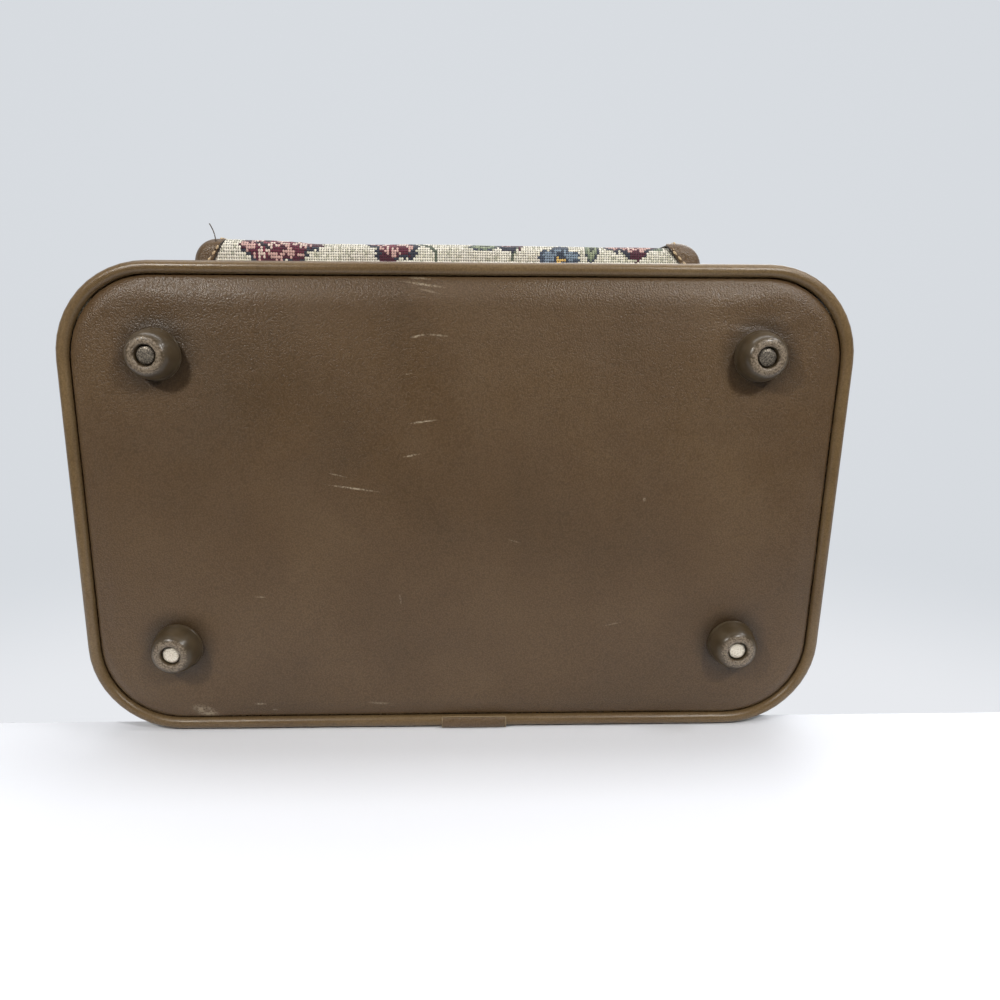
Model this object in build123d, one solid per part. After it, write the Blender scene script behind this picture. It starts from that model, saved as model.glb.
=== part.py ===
from build123d import *
from math import asin, degrees
import os

# A soft-sided cosmetic train case: a tapestry box on four feet with a zipped, hinged lid.
# Millimetres. +Z is up, the front with its pocket faces -Y, and z = 0 is the floor under the feet.

# Outline of the case
case_width = 320.0          # over the piping, left to right
case_depth = 200.0          # over the piping, front to back
case_corner = 38.5          # plan radius of the piping's outer edge
case_skew = -0.018          # the soft case leans: sideways shift for each millimetre back
piping_radius = 2.6
piping_gap = 0.2            # between the piping and the panel it frames
piping_rise = 4.0           # from the panel's flat to the piping's centre
face_inset = 2.5            # from the piping's outer edge in to the tapestry face

# Heights
foot_height = 9.5           # floor to the flat of the base panel
pad_thickness = 5.4         # base panel: vinyl over wadding
flange_thickness = 0.6      # the welt's seam allowance
board_thickness = 3.0       # bottom board
body_height = 132.5         # base panel to the centre line of the main zip
rim_gap = 2.4               # between the body rim and the lid rim
lid_height = 53.6           # centre line of the zip to the underside of the lid's top board
lid_board_thickness = 3.0
lid_pad_thickness = 4.8

# Wall layers, from the outside in
tapestry_thickness = 1.6
wall_board_thickness = 2.6
lining_thickness = 0.8
binding_thickness = 0.8
binding_leg = 8.0

# Base panel
roll_width = 11.0           # how far the panel's edge rolls inwards
flange_width = 11.0         # the welt's seam allowance, under the panel
board_margin = 0.3          # the boards stop this far inside the panel's edge
dent_width = 5.2            # soft dent in the pad round each foot
dent_depth = 0.8

# Join patch, a vinyl sleeve over the piping's two ends
patch_x = 5.85
patch_length = 28.5
patch_thickness = 0.7
patch_clearance = 0.02
patch_open_top = 1.4        # its fold stops this far above the cord's middle
patch_open_side = 2.0       # and this far inside it, towards the panel

# Feet
foot_side_margin = 40.0     # from the piping's outer edge in to each foot's axis
foot_front_margin = 35.8
foot_back_margin = 40.5
foot_base_radius = 10.3
foot_lip = 1.0
foot_shoulder_radius = 7.9
foot_flat_radius = 6.2
foot_recess_radius = 4.4
foot_recess_depth = 2.6
rivet_head_radius = 3.4
rivet_head_height = 1.3
rivet_radius = 1.95
rivet_clearance = 0.2
washer_radius = 6.0
washer_thickness = 1.0
clench_radius = 3.2
clench_height = 0.5
bottom_pad_thickness = 1.6

# Main zip
tape_thickness = 0.8
tape_width = 11.5
tape_gap = 1.0
tooth_width = 1.6
tooth_height = 1.4
tooth_gap = 0.8
zip_end_gap = 4.0           # the teeth stop on the back corners, this far short of the back
hinge_end_gap = 3.5         # the hinge strip stops this far short of the corners
hinge_thickness = 1.0
hinge_half_height = 13.0

# Zip sliders and pulls
slider_length = 11.0
slider_height = 8.0
plate_thickness = 1.0
slider_clearance = 0.25
post_length = 3.0
post_clearance = 0.15
keeper_length = 9.0
keeper_thickness = 0.8
keeper_clearance = 0.2
crown_length = 8.8
crown_height = 1.0
crown_bar = 1.2
crown_slot = 2.15
slider_spacing = 13.0       # between the middles of the two main sliders
ring_wire = 0.5
ring_inner_radius = 1.5
ring_drop = 0.6
tab_width = 8.0
tab_length = 18.0
tab_thickness = 1.6
tab_hole_radius = 0.85
tab_end = 0.85

# Front pocket
pocket_centre_x = -3.6
pocket_width = 213.5
pocket_rise = 25.0          # from the base panel up to the pocket
pocket_pull_gap = 4.0       # the main pulls hang this far clear of the pocket
pocket_reach = 12.6         # from the tapestry face out to the vinyl
pocket_corner = 10.0
pocket_lap = 0.8            # vinyl lying over the tapestry
pocket_cloth = 1.8
pocket_end_width = 14.0
pocket_overlap = 5.0
pocket_edge_radius = 5.0
pocket_slot_height = 3.2
pocket_slot_margin = 14.0   # from the tapestry's edge to the slot
pocket_tape_reach = 6.8     # from the pocket zip's centre line to each tape's edge
pocket_tape_thickness = 0.7
pocket_tape_end = 4.0
pocket_slider_end = 2.0     # the closed slider stops this far inside the slot

# Lid fittings
mirror_width = 170.0
mirror_depth = 110.0
mirror_thickness = 2.0
mirror_border = 9.0
mirror_lap = 3.0
mirror_lip = 1.0
handle_x = 62.0
handle_axis_y = -6.0
handle_clearance = 0.4      # the strap above the lid; the padded grip has twice this
wire_radius = 1.5
wire_clearance = 0.4
wire_bend = 2.6
ring_width = 26.0
ring_reach = 13.0
chape_width = 18.0
chape_back = 38.0
chape_thickness = 1.8
chape_wall = 1.5
strap_radius = 4.2
handle_reach = 54.0
handle_bend = 24.0
grip_radius = 7.2
grip_half_length = 35.0

# Derived sizes
far = 2 * case_width        # cutting blocks reach past the case
face_width = case_width - 2 * face_inset
face_depth = case_depth - 2 * face_inset
face_corner = case_corner - face_inset
panel_inset = 2 * piping_radius + piping_gap - face_inset
dent_radius = foot_base_radius + dent_width
zip_height = foot_height + body_height
lid_wall_top = zip_height + lid_height
panel_top = foot_height + pad_thickness - flange_thickness
bottom_board_z = foot_height + pad_thickness
floor_z = bottom_board_z + board_thickness
base_piping_z = foot_height + piping_rise
body_wall_start = base_piping_z + piping_radius
body_rim = zip_height - rim_gap / 2
lid_rim = zip_height + rim_gap / 2
lid_board_top = lid_wall_top + lid_board_thickness
lid_pad_z = lid_board_top + flange_thickness
lid_top = lid_pad_z + lid_pad_thickness
lid_piping_z = lid_top - piping_rise
front_face_y = -face_depth / 2
back_face_y = face_depth / 2
wall_thickness = tapestry_thickness + wall_board_thickness + lining_thickness
board_inset = panel_inset + board_margin
pad_inset = panel_inset + flange_width + 0.5
hinge_half_width = face_width / 2 - face_corner - hinge_end_gap
post_thickness = tooth_gap - 2 * post_clearance
keeper_height = rim_gap - 2 * slider_clearance
plate_y = tape_thickness + tooth_height + slider_clearance
crown_y = plate_thickness + crown_slot + crown_bar / 2
ring_middle_radius = ring_inner_radius + ring_wire
pull_hang = ring_drop + ring_middle_radius - tab_hole_radius - tab_end + tab_length
pocket_bottom = foot_height + pocket_rise
pocket_top = zip_height - pull_hang - pocket_pull_gap
pocket_zip_height = pocket_top - pocket_edge_radius - pocket_tape_reach - 0.3
pocket_face_y = front_face_y - pocket_reach + pocket_lap
front_reach = -pocket_face_y + slider_clearance + crown_y + ring_middle_radius + ring_wire
back_reach = case_depth / 2 + patch_thickness
case_y = (front_reach - back_reach) / 2


def plan(inset):
    """The case's rounded, slightly skewed outline, this far inside the tapestry face."""
    half_width = face_width / 2
    half_depth = face_depth / 2
    lean = case_skew * half_depth
    outline = Polygon(
        (-half_width - lean, -half_depth),
        (half_width - lean, -half_depth),
        (half_width + lean, half_depth),
        (-half_width + lean, half_depth),
        align=None,
    )
    outline = fillet(outline.vertices(), face_corner)
    return offset(outline, amount=-inset) if inset else outline


def slab(inset, bottom, top):
    return Pos(0, 0, bottom) * extrude(plan(inset), top - bottom)


def wall(outer, inner, bottom, top):
    return slab(outer, bottom, top) - slab(inner, bottom - 1, top + 1)


def block(x0, x1, y0, y1, z0, z1):
    size = Box(x1 - x0, y1 - y0, z1 - z0)
    return Pos((x0 + x1) / 2, (y0 + y1) / 2, (z0 + z1) / 2) * size


def post(x, y, radius, bottom, top):
    return Pos(x, y, (bottom + top) / 2) * Cylinder(radius, top - bottom)


def rod_x(x0, x1, y, z, radius):
    return Pos((x0 + x1) / 2, y, z) * Rot(0, 90, 0) * Cylinder(radius, x1 - x0)


def save(name, shape):
    export_step(Pos(0, case_y, 0) * shape, f"parts/{name}.step")


def rolled_panel(edge_z, flat_z):
    """A padded panel whose edge rolls over from edge_z to a flat face at flat_z."""
    rise = flat_z - edge_z
    sections = []
    for share in (0.0, 0.45, 0.75, 0.93, 1.0):
        inset = panel_inset + roll_width * (1 - (1 - share ** 2) ** 0.5)
        sections.append(Pos(0, 0, edge_z + rise * share) * plan(inset))
    return loft(sections, ruled=True)


def piping(height, flange_z):
    path = Pos(0, 0, height) * plan(piping_radius - face_inset).wire()
    start = Plane(origin=path @ 0, z_dir=path % 0)
    tube = sweep(start * Circle(piping_radius), path=path)
    flange_start = 1.65 * piping_radius - face_inset
    flange = wall(flange_start, panel_inset + flange_width, flange_z, flange_z + flange_thickness)
    return tube + flange


foot_x = case_width / 2 - foot_side_margin
foot_front_y = case_depth / 2 - foot_front_margin
foot_back_y = case_depth / 2 - foot_back_margin
foot_places = {
    "foot_front_left": (-foot_x - case_skew * foot_front_y, -foot_front_y),
    "foot_front_right": (foot_x - case_skew * foot_front_y, -foot_front_y),
    "foot_back_left": (-foot_x + case_skew * foot_back_y, foot_back_y),
    "foot_back_right": (foot_x + case_skew * foot_back_y, foot_back_y),
}
os.makedirs("parts", exist_ok=True)

# Base panel: a padded vinyl panel, dented where each foot is riveted through it.
# The panel stands proud of the groove, and its edge rolls up into the piping.
foot_seat = foot_height + dent_depth
base_cover = rolled_panel(panel_top, foot_height)
base_cover += slab(pad_inset, panel_top, bottom_board_z)
dent = Plane.XZ * Polygon(
    (0, foot_height - 1),
    (dent_radius + 1, foot_height - 1),
    (dent_radius, foot_height),
    (foot_base_radius + 0.5 * dent_width, foot_height + 0.2 * dent_depth),
    (foot_base_radius + 0.3, foot_seat),
    (0, foot_seat),
    align=None,
)
dent = revolve(dent, Axis.Z)
for x, y in foot_places.values():
    base_cover -= Pos(x, y, 0) * dent
    base_cover -= post(x, y, rivet_radius + rivet_clearance, foot_height, bottom_board_z + 1)
save("base_cover", base_cover)

# Bottom board: the stiff floor under the lining.
base_board = slab(board_inset, bottom_board_z, floor_z)
for x, y in foot_places.values():
    base_board -= post(x, y, rivet_radius + rivet_clearance, bottom_board_z - 1, floor_z + 1)
save("base_board", base_board)

# Piping: one covered cord round the base, sewn in by its flange.
base_piping = piping(base_piping_z, panel_top)
save("base_piping", base_piping)

# Join patch: a short vinyl sleeve over the piping's two ends, at the back.
patch_y = back_face_y + face_inset - piping_radius
patch = rod_x(-patch_length / 2, patch_length / 2, 0, 0, piping_radius + patch_thickness)
patch -= rod_x(-patch_length, patch_length, 0, 0, piping_radius + patch_clearance)
patch -= block(-far, far, -far, far, patch_open_top, far)
patch -= block(-far, far, -far, -patch_open_side, -far, far)
save("piping_join_patch", Pos(patch_x, patch_y, base_piping_z) * patch)

# Feet: moulded cones with a lip, a worn round shoulder and a sunk rivet seat.
foot_profile = Plane.XZ * Polygon(
    (rivet_radius + rivet_clearance, foot_seat),
    (foot_base_radius, foot_seat),
    (foot_base_radius, foot_seat - 0.5 * foot_lip),
    (foot_base_radius - 0.3, foot_seat - foot_lip),
    (foot_base_radius - 0.8, foot_seat - foot_lip - 0.2),
    (foot_shoulder_radius + 0.1, 2.2),
    (foot_shoulder_radius - 0.15, 1.2),
    (foot_shoulder_radius - 0.7, 0.4),
    (foot_flat_radius, 0),
    (foot_recess_radius + 0.35, 0),
    (foot_recess_radius, 0.4),
    (foot_recess_radius - 0.2, foot_recess_depth),
    (rivet_radius + rivet_clearance, foot_recess_depth),
    align=None,
)
foot = revolve(foot_profile, Axis.Z)
for name, (x, y) in foot_places.items():
    save(name, Pos(x, y, 0) * foot)

# Rivets: a domed head in each foot, its shank up through the board, clenched on a washer.
clench_z = floor_z + washer_thickness
head_z = foot_recess_depth - rivet_head_height
rivet_profile = Plane.XZ * Polygon(
    (0, head_z),
    (0.6 * rivet_head_radius, head_z + 0.12),
    (0.88 * rivet_head_radius, head_z + 0.42),
    (rivet_head_radius, head_z + 0.85),
    (rivet_head_radius, foot_recess_depth),
    (rivet_radius, foot_recess_depth),
    (rivet_radius, clench_z),
    (clench_radius, clench_z),
    (clench_radius - 0.4, clench_z + clench_height),
    (0, clench_z + clench_height),
    align=None,
)
rivet = revolve(rivet_profile, Axis.Z)
washer = Cylinder(washer_radius, washer_thickness) - Cylinder(rivet_radius + rivet_clearance, 3)
washer = Pos(0, 0, floor_z + washer_thickness / 2) * washer
save("foot_rivets", Compound([Pos(x, y, 0) * rivet for x, y in foot_places.values()]))
save("foot_washers", Compound([Pos(x, y, 0) * washer for x, y in foot_places.values()]))

# Bottom pad: a card insert with a hole over each washer.
bottom_pad = slab(wall_thickness, floor_z, floor_z + bottom_pad_thickness)
for x, y in foot_places.values():
    bottom_pad -= post(x, y, washer_radius + 1.0, floor_z - 1, floor_z + 3)
save("bottom_pad", bottom_pad)

# Body walls: tapestry outside, a stiff board ring, and a sewn lining with its own floor.
board_face = tapestry_thickness
lining_face = tapestry_thickness + wall_board_thickness
body_top = body_rim - binding_thickness
save("body_cover", wall(0, board_face, body_wall_start, body_top))
save("body_board", wall(board_face, lining_face, floor_z, body_top))
lining_floor = floor_z + bottom_pad_thickness
body_lining = slab(lining_face, lining_floor, body_top)
body_lining -= slab(wall_thickness, lining_floor + lining_thickness, body_top + 1)
save("body_lining", body_lining)

# Rim binding: folded over the top of the wall, with a leg down the inside.
body_binding = wall(0, wall_thickness + binding_thickness, body_top, body_rim)
body_binding += wall(wall_thickness, wall_thickness + binding_thickness, body_rim - binding_leg, body_rim)
save("body_rim_binding", body_binding)

# Main zip, body half: a tape sewn round the front, sides and corners, with its teeth.
tape_stop = block(-hinge_half_width, hinge_half_width, 0, far, 0, far)
tooth_stop = block(-far, far, back_face_y - zip_end_gap, far, 0, far)
body_tape = wall(-tape_thickness, 0, zip_height - tape_gap / 2 - tape_width, zip_height - tape_gap / 2)
save("body_zip_tape", body_tape - tape_stop)
tooth_out = -tape_thickness - tooth_height
tooth_near = zip_height - tooth_gap / 2
body_teeth = wall(tooth_out, -tape_thickness, tooth_near - tooth_width, tooth_near)
save("body_zip_teeth", body_teeth - tooth_stop)

# Hinge strip: one vinyl strip across the back, creased along the fold.
hinge_profile = Plane.YZ * Polygon(
    (back_face_y, zip_height - hinge_half_height),
    (back_face_y + hinge_thickness, zip_height - hinge_half_height + 0.6),
    (back_face_y + hinge_thickness, zip_height - 2.0),
    (back_face_y + 0.5 * hinge_thickness, zip_height),
    (back_face_y + hinge_thickness, zip_height + 2.0),
    (back_face_y + hinge_thickness, zip_height + hinge_half_height - 0.6),
    (back_face_y, zip_height + hinge_half_height),
    align=None,
)
hinge_strip = extrude(hinge_profile, 2 * hinge_half_width)
save("hinge_strip", Pos(-hinge_half_width, 0, 0) * hinge_strip)

# Lid: top board on a board wall, tapestry round the side and over a padded top.
save("lid_wall_board", wall(board_face, lining_face, lid_rim + binding_thickness, lid_wall_top))
save("lid_top_board", slab(board_inset, lid_wall_top, lid_board_top))
lid_side_top = lid_piping_z - piping_radius
save("lid_side_cover", wall(0, board_face, lid_rim + binding_thickness, lid_side_top))
save("lid_piping", piping(lid_piping_z, lid_board_top))
lid_cover = rolled_panel(lid_pad_z, lid_top)
lid_cover += slab(pad_inset, lid_board_top, lid_pad_z)
save("lid_top_cover", lid_cover)
lid_lining = slab(lining_face, lid_rim + binding_thickness, lid_wall_top)
lid_lining -= slab(wall_thickness, lid_rim - 1, lid_wall_top - lining_thickness)
save("lid_lining", lid_lining)
lid_binding = wall(0, wall_thickness + binding_thickness, lid_rim, lid_rim + binding_thickness)
lid_binding += wall(wall_thickness, wall_thickness + binding_thickness, lid_rim, lid_rim + binding_leg)
save("lid_rim_binding", lid_binding)
lid_tape = wall(-tape_thickness, 0, zip_height + tape_gap / 2, zip_height + tape_gap / 2 + tape_width)
save("lid_zip_tape", lid_tape - tape_stop)
tooth_near = zip_height + tooth_gap / 2
lid_teeth = wall(tooth_out, -tape_thickness, tooth_near, tooth_near + tooth_width)
save("lid_zip_teeth", lid_teeth - tooth_stop)

# Mirror: a glass plate held to the lid's ceiling by a vinyl frame that laps its edge.
ceiling = lid_wall_top - lining_thickness
frame_width = mirror_width + 2 * mirror_border
frame_depth = mirror_depth + 2 * mirror_border
frame_height = mirror_thickness + mirror_lip
mirror_frame = extrude(RectangleRounded(frame_width, frame_depth, 12), frame_height)
mirror_frame -= Pos(0, 0, mirror_lip) * extrude(Rectangle(mirror_width, mirror_depth), frame_height)
window = RectangleRounded(mirror_width - 2 * mirror_lap, mirror_depth - 2 * mirror_lap, 5)
mirror_frame -= Pos(0, 0, -1) * extrude(window, frame_height + 2)
save("mirror_frame", Pos(0, 0, ceiling - frame_height) * mirror_frame)
mirror = Box(mirror_width - 0.6, mirror_depth - 0.6, mirror_thickness)
save("lid_mirror", Pos(0, 0, ceiling - mirror_thickness / 2) * mirror)


# Zip slider: a face plate with a crown bar, a thin post between the teeth, and a keeper behind.
def slider(reach):
    """Origin on the zip's centre line at the plate's inner face; -Y is outwards."""
    plate = Plane.XZ * RectangleRounded(slider_length, slider_height, 2.6)
    plate = extrude(plate, plate_thickness)
    crown = block(
        -crown_length / 2, crown_length / 2, -crown_y - crown_bar / 2, -plate_thickness,
        -crown_height / 2, crown_height / 2,
    )
    crown_ends = crown.edges().filter_by(Axis.Z).group_by(Axis.Y)[0]
    crown = fillet(crown_ends, 1.1)
    slot = crown_length / 2 - 1.2
    crown -= block(-slot, slot, -plate_thickness - crown_slot, -plate_thickness, -far, far)
    stem = block(-post_length / 2, post_length / 2, 0, reach, -post_thickness / 2, post_thickness / 2)
    keeper_end = reach + keeper_thickness
    keeper = block(
        -keeper_length / 2, keeper_length / 2, reach, keeper_end, -keeper_height / 2, keeper_height / 2,
    )
    return plate + crown + stem + keeper


# Pull: a wire ring round the crown bar with a folded vinyl tab hanging in it.
def pull_ring():
    ring = Torus(ring_middle_radius, ring_wire)
    return Pos(0, -crown_y, -ring_drop) * Rot(0, 90, 0) * ring


def pull_tab():
    hole_z = -ring_drop - ring_middle_radius
    top = hole_z + tab_hole_radius + tab_end
    tab = Plane.XZ * RectangleRounded(tab_width, tab_length, 3.0)
    tab = extrude(tab, tab_thickness / 2, both=True)
    tab = Pos(0, 0, top - tab_length / 2) * tab
    tab -= Pos(0, 0, hole_z) * Rot(90, 0, 0) * Cylinder(tab_hole_radius, 2 * tab_thickness)
    return Pos(0, -crown_y, 0) * tab


main_reach = plate_y + keeper_clearance
plate_face_y = front_face_y - plate_y
for side, place in (("left", -slider_spacing / 2), ("right", slider_spacing / 2)):
    spot = Pos(place, plate_face_y, zip_height)
    save(f"zip_slider_{side}", spot * slider(main_reach))
    save(f"pull_ring_{side}", spot * pull_ring())
    save(f"pull_tab_{side}", spot * pull_tab())


# Front pocket: a tapestry front and bottom between two vinyl ends that lap over it.
def pocket_block(inset):
    width = pocket_width - 2 * inset
    reach = pocket_reach - inset
    radius = pocket_corner - inset
    outline = RectangleRounded(width, 2 * reach, radius)
    solid = extrude(outline, pocket_top - pocket_bottom - 2 * inset)
    solid = Pos(pocket_centre_x, front_face_y, pocket_bottom + inset) * solid
    solid = solid - block(-far, far, front_face_y, far, 0, far)
    level = solid.edges().filter_by(lambda e: abs(e.center().Z - e.bounding_box().min.Z) < 0.01)
    outer = [e for e in level if e.center().Y < front_face_y - 0.1]
    return fillet(outer, pocket_edge_radius - inset)


pocket_outer = pocket_block(0)
pocket_middle = pocket_block(pocket_lap)
pocket_inner = pocket_block(pocket_lap + pocket_cloth)
pocket_left = pocket_centre_x - pocket_width / 2
pocket_right = pocket_centre_x + pocket_width / 2
cloth_left = pocket_left + pocket_end_width - pocket_overlap
cloth_right = pocket_right - pocket_end_width + pocket_overlap
pocket_cavity = pocket_inner + block(
    pocket_left + 2.6, pocket_right - 2.6, front_face_y - 3, front_face_y + 1,
    pocket_bottom + 2.6, pocket_top - 2.6,
)
cloth = pocket_middle & block(cloth_left, cloth_right, -far, 0, 0, far)
pocket_slot_left = cloth_left + pocket_slot_margin
pocket_slot_right = cloth_right - pocket_slot_margin
slot = block(
    pocket_slot_left, pocket_slot_right, -far, front_face_y - 1,
    pocket_zip_height - pocket_slot_height / 2, pocket_zip_height + pocket_slot_height / 2,
)
save("pocket_face", cloth - pocket_cavity - slot)
left_end = pocket_outer & block(-far, pocket_left + pocket_end_width, -far, 0, 0, far)
right_end = pocket_outer & block(pocket_right - pocket_end_width, far, -far, 0, 0, far)
save("pocket_end_left", left_end - cloth - pocket_cavity)
save("pocket_end_right", right_end - cloth - pocket_cavity)

# Pocket zip: two tapes behind the slot, their teeth, a slider and its pull.
cloth_back = pocket_face_y + pocket_cloth
tape_back = cloth_back + pocket_tape_thickness
tape_left = pocket_slot_left - pocket_tape_end
tape_right = pocket_slot_right + pocket_tape_end
pocket_tapes = []
pocket_teeth = []
for way in (-1, 1):
    inner_edge = pocket_zip_height + way * tooth_gap / 2
    outer_edge = pocket_zip_height + way * pocket_tape_reach
    low = min(inner_edge, outer_edge)
    high = max(inner_edge, outer_edge)
    pocket_tapes.append(block(tape_left, tape_right, cloth_back, tape_back, low, high))
    tooth_edge = pocket_zip_height + way * 1.3
    low = min(inner_edge, tooth_edge)
    high = max(inner_edge, tooth_edge)
    teeth = block(pocket_slot_left + 1, pocket_slot_right - 1, cloth_back - 1.2, cloth_back, low, high)
    pocket_teeth.append(teeth)
save("pocket_zip_tape", Compound(pocket_tapes))
save("pocket_zip_teeth", Compound(pocket_teeth))
pocket_stem = pocket_cloth + slider_clearance + pocket_tape_thickness + keeper_clearance
pocket_slider_x = pocket_slot_left + slider_length / 2 + pocket_slider_end
spot = Pos(pocket_slider_x, pocket_face_y - slider_clearance, pocket_zip_height)
save("pocket_zip_slider", spot * slider(pocket_stem))
save("pocket_pull_ring", spot * pull_ring())
save("pocket_pull_tab", spot * pull_tab())

# Handle fittings: each chape is a vinyl patch sewn to the lid with a loop round a wire ring.
handle_axis_rise = wire_radius + wire_clearance + chape_wall
axis_z = lid_top + handle_axis_rise
for side, x in (("left", -handle_x), ("right", handle_x)):
    half = chape_width / 2
    loop = rod_x(x - half, x + half, handle_axis_y, axis_z, handle_axis_rise)
    patch_top = lid_top + chape_thickness
    chape = loop + block(x - half, x + half, handle_axis_y, chape_back - 8, lid_top, patch_top)
    tip = Pos(x, chape_back - 8, lid_top + chape_thickness / 2) * Cylinder(half, chape_thickness)
    chape += tip
    chape -= rod_x(x - half - 1, x + half + 1, handle_axis_y, axis_z, wire_radius + wire_clearance)
    save(f"handle_chape_{side}", chape)

# Handle: a rolled vinyl strap with a padded grip, eyed on the two rings. It lies forward on the lid.
grip_lift = (grip_radius + 2 * handle_clearance - handle_axis_rise) / handle_reach
strap_lift = (strap_radius + handle_clearance - handle_axis_rise) / ring_reach
handle_tilt = degrees(asin(max(grip_lift, strap_lift)))
handle_place = Pos(0, handle_axis_y, axis_z) * Rot(-handle_tilt, 0, 0)
for side, x in (("left", -handle_x), ("right", handle_x)):
    ring_path = RectangleRounded(ring_width, ring_reach, wire_bend).wire()
    ring_start = Plane(origin=ring_path @ 0, z_dir=ring_path % 0)
    wire_ring = sweep(ring_start * Circle(wire_radius), path=ring_path)
    save(f"handle_ring_{side}", handle_place * Pos(x, -ring_reach / 2, 0) * wire_ring)

strap_path = Polyline(
    (-handle_x, -ring_reach, 0),
    (-handle_x, -handle_reach, 0),
    (handle_x, -handle_reach, 0),
    (handle_x, -ring_reach, 0),
)
strap_path = fillet(strap_path.vertices()[1:3], handle_bend)
strap_start = Plane(origin=strap_path @ 0, z_dir=strap_path % 0)
handle = sweep(strap_start * Circle(strap_radius), path=strap_path)
grip = Rot(0, 90, 0) * Cylinder(grip_radius, 2 * grip_half_length)
grip = fillet(grip.edges(), 4.0)
handle += Pos(0, -handle_reach, 0) * grip
for x in (-handle_x, handle_x):
    handle += rod_x(x - half + 1, x + half - 1, -ring_reach, 0, strap_radius)
    handle -= rod_x(x - half - 1, x + half + 1, -ring_reach, 0, wire_radius + wire_clearance)
save("handle_grip", handle_place * handle)
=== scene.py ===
# %% [markdown]
# A cosmetic train case, dressed for its portrait
#
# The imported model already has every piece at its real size. This lesson gives each of them its
# finish: padded vinyl, woven tapestry, piping, moulded feet, zips and thread. Everything is in
# metres, in the model's own frame: z = 0 is the floor under the feet and the front faces -Y.

# %% Load the model and keep its box
import math

import bpy
from mathutils import Matrix, Vector, noise


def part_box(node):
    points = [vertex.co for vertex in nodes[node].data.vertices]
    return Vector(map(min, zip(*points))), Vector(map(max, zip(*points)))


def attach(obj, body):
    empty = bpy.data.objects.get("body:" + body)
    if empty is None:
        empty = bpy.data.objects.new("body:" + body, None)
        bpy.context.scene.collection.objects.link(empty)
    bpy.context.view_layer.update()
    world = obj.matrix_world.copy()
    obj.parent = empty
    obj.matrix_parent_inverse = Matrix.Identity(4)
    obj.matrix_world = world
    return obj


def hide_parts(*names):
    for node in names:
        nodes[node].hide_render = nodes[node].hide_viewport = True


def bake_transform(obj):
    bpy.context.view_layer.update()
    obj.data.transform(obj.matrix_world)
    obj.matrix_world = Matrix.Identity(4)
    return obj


for name in ("Cube", "Light", "Camera"):
    if name in bpy.data.objects:
        bpy.data.objects.remove(bpy.data.objects[name])
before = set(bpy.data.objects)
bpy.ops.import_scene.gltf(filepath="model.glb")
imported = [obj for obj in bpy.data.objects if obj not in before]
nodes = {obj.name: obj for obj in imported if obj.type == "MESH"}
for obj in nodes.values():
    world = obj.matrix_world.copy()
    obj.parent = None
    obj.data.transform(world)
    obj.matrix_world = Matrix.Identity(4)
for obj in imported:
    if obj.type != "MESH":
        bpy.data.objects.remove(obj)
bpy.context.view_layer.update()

# %% [markdown]
# Sizes. The outline is a rectangle with round corners that leans a little to one side, as the soft
# case in the photograph does. Its numbers are the real ones, in metres. Places that belong to one
# piece are read from that piece's own box later on.

# %% Sizes that several pieces share
MM = 0.001
FACE_WIDTH = 315 * MM
FACE_DEPTH = 195 * MM
FACE_CORNER = 36 * MM
LEAN = -0.018
PIPING_RADIUS = 2.6 * MM
PANEL_INSET = 2.9 * MM
ROLL_WIDTH = 11 * MM

piping_low, piping_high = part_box("base_piping")
MIDDLE_Y = (piping_low.y + piping_high.y) / 2
PIPING_Z = piping_low.z + PIPING_RADIUS
wall_low, wall_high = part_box("body_cover")
FRONT_FACE = MIDDLE_Y - FACE_DEPTH / 2
BACK_FACE = MIDDLE_Y + FACE_DEPTH / 2
ZIP_Z = (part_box("body_rim_binding")[1].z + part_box("lid_rim_binding")[0].z) / 2
LID_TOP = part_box("lid_top_cover")[1].z
PANEL_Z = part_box("base_cover")[0].z
foot_names = ("foot_front_left", "foot_front_right", "foot_back_left", "foot_back_right")
foot_centres = []
for foot_name in foot_names:
    low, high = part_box(foot_name)
    foot_centres.append(Vector(((low.x + high.x) / 2, (low.y + high.y) / 2, 0)))
print("middle y", round(MIDDLE_Y, 5), "zip z", round(ZIP_Z, 5), "panel z", round(PANEL_Z, 5))

# %% [markdown]
# Working by hand, in code. In Blender's own window you would click on a face and press a key. Here
# `pick` does the clicking: it goes into edit mode and selects what passes a test on its place. The
# tools then act on that, as they would on a click.

# %% Taking a piece in hand
def take(piece):
    """Only this piece is selected, and it is the active one."""
    if bpy.context.mode != "OBJECT":
        bpy.ops.object.mode_set(mode="OBJECT")
    bpy.ops.object.select_all(action="DESELECT")
    piece.select_set(True)
    bpy.context.view_layer.objects.active = piece


def edit(piece, kind="VERT"):
    take(piece)
    bpy.ops.object.mode_set(mode="EDIT")
    bpy.ops.mesh.select_mode(type=kind)


def edit_all(piece, kind="VERT"):
    """Edit mode, with the whole piece selected."""
    edit(piece, kind)
    bpy.ops.mesh.select_all(action="SELECT")


def leave():
    bpy.ops.object.mode_set(mode="OBJECT")


def flip(piece):
    """Turns every face of a piece to look the other way."""
    edit_all(piece, "FACE")
    bpy.ops.mesh.flip_normals()
    leave()


def fix_place():
    """The active piece's place, turn and size go into its mesh, and it sits at the origin."""
    bpy.ops.object.transform_apply(location=True, rotation=True, scale=True)


def stretch_and_move(size, way):
    """What is selected is stretched about the origin, then moved."""
    bpy.ops.transform.resize(value=size, center_override=(0, 0, 0))
    bpy.ops.transform.translate(value=way)


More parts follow.
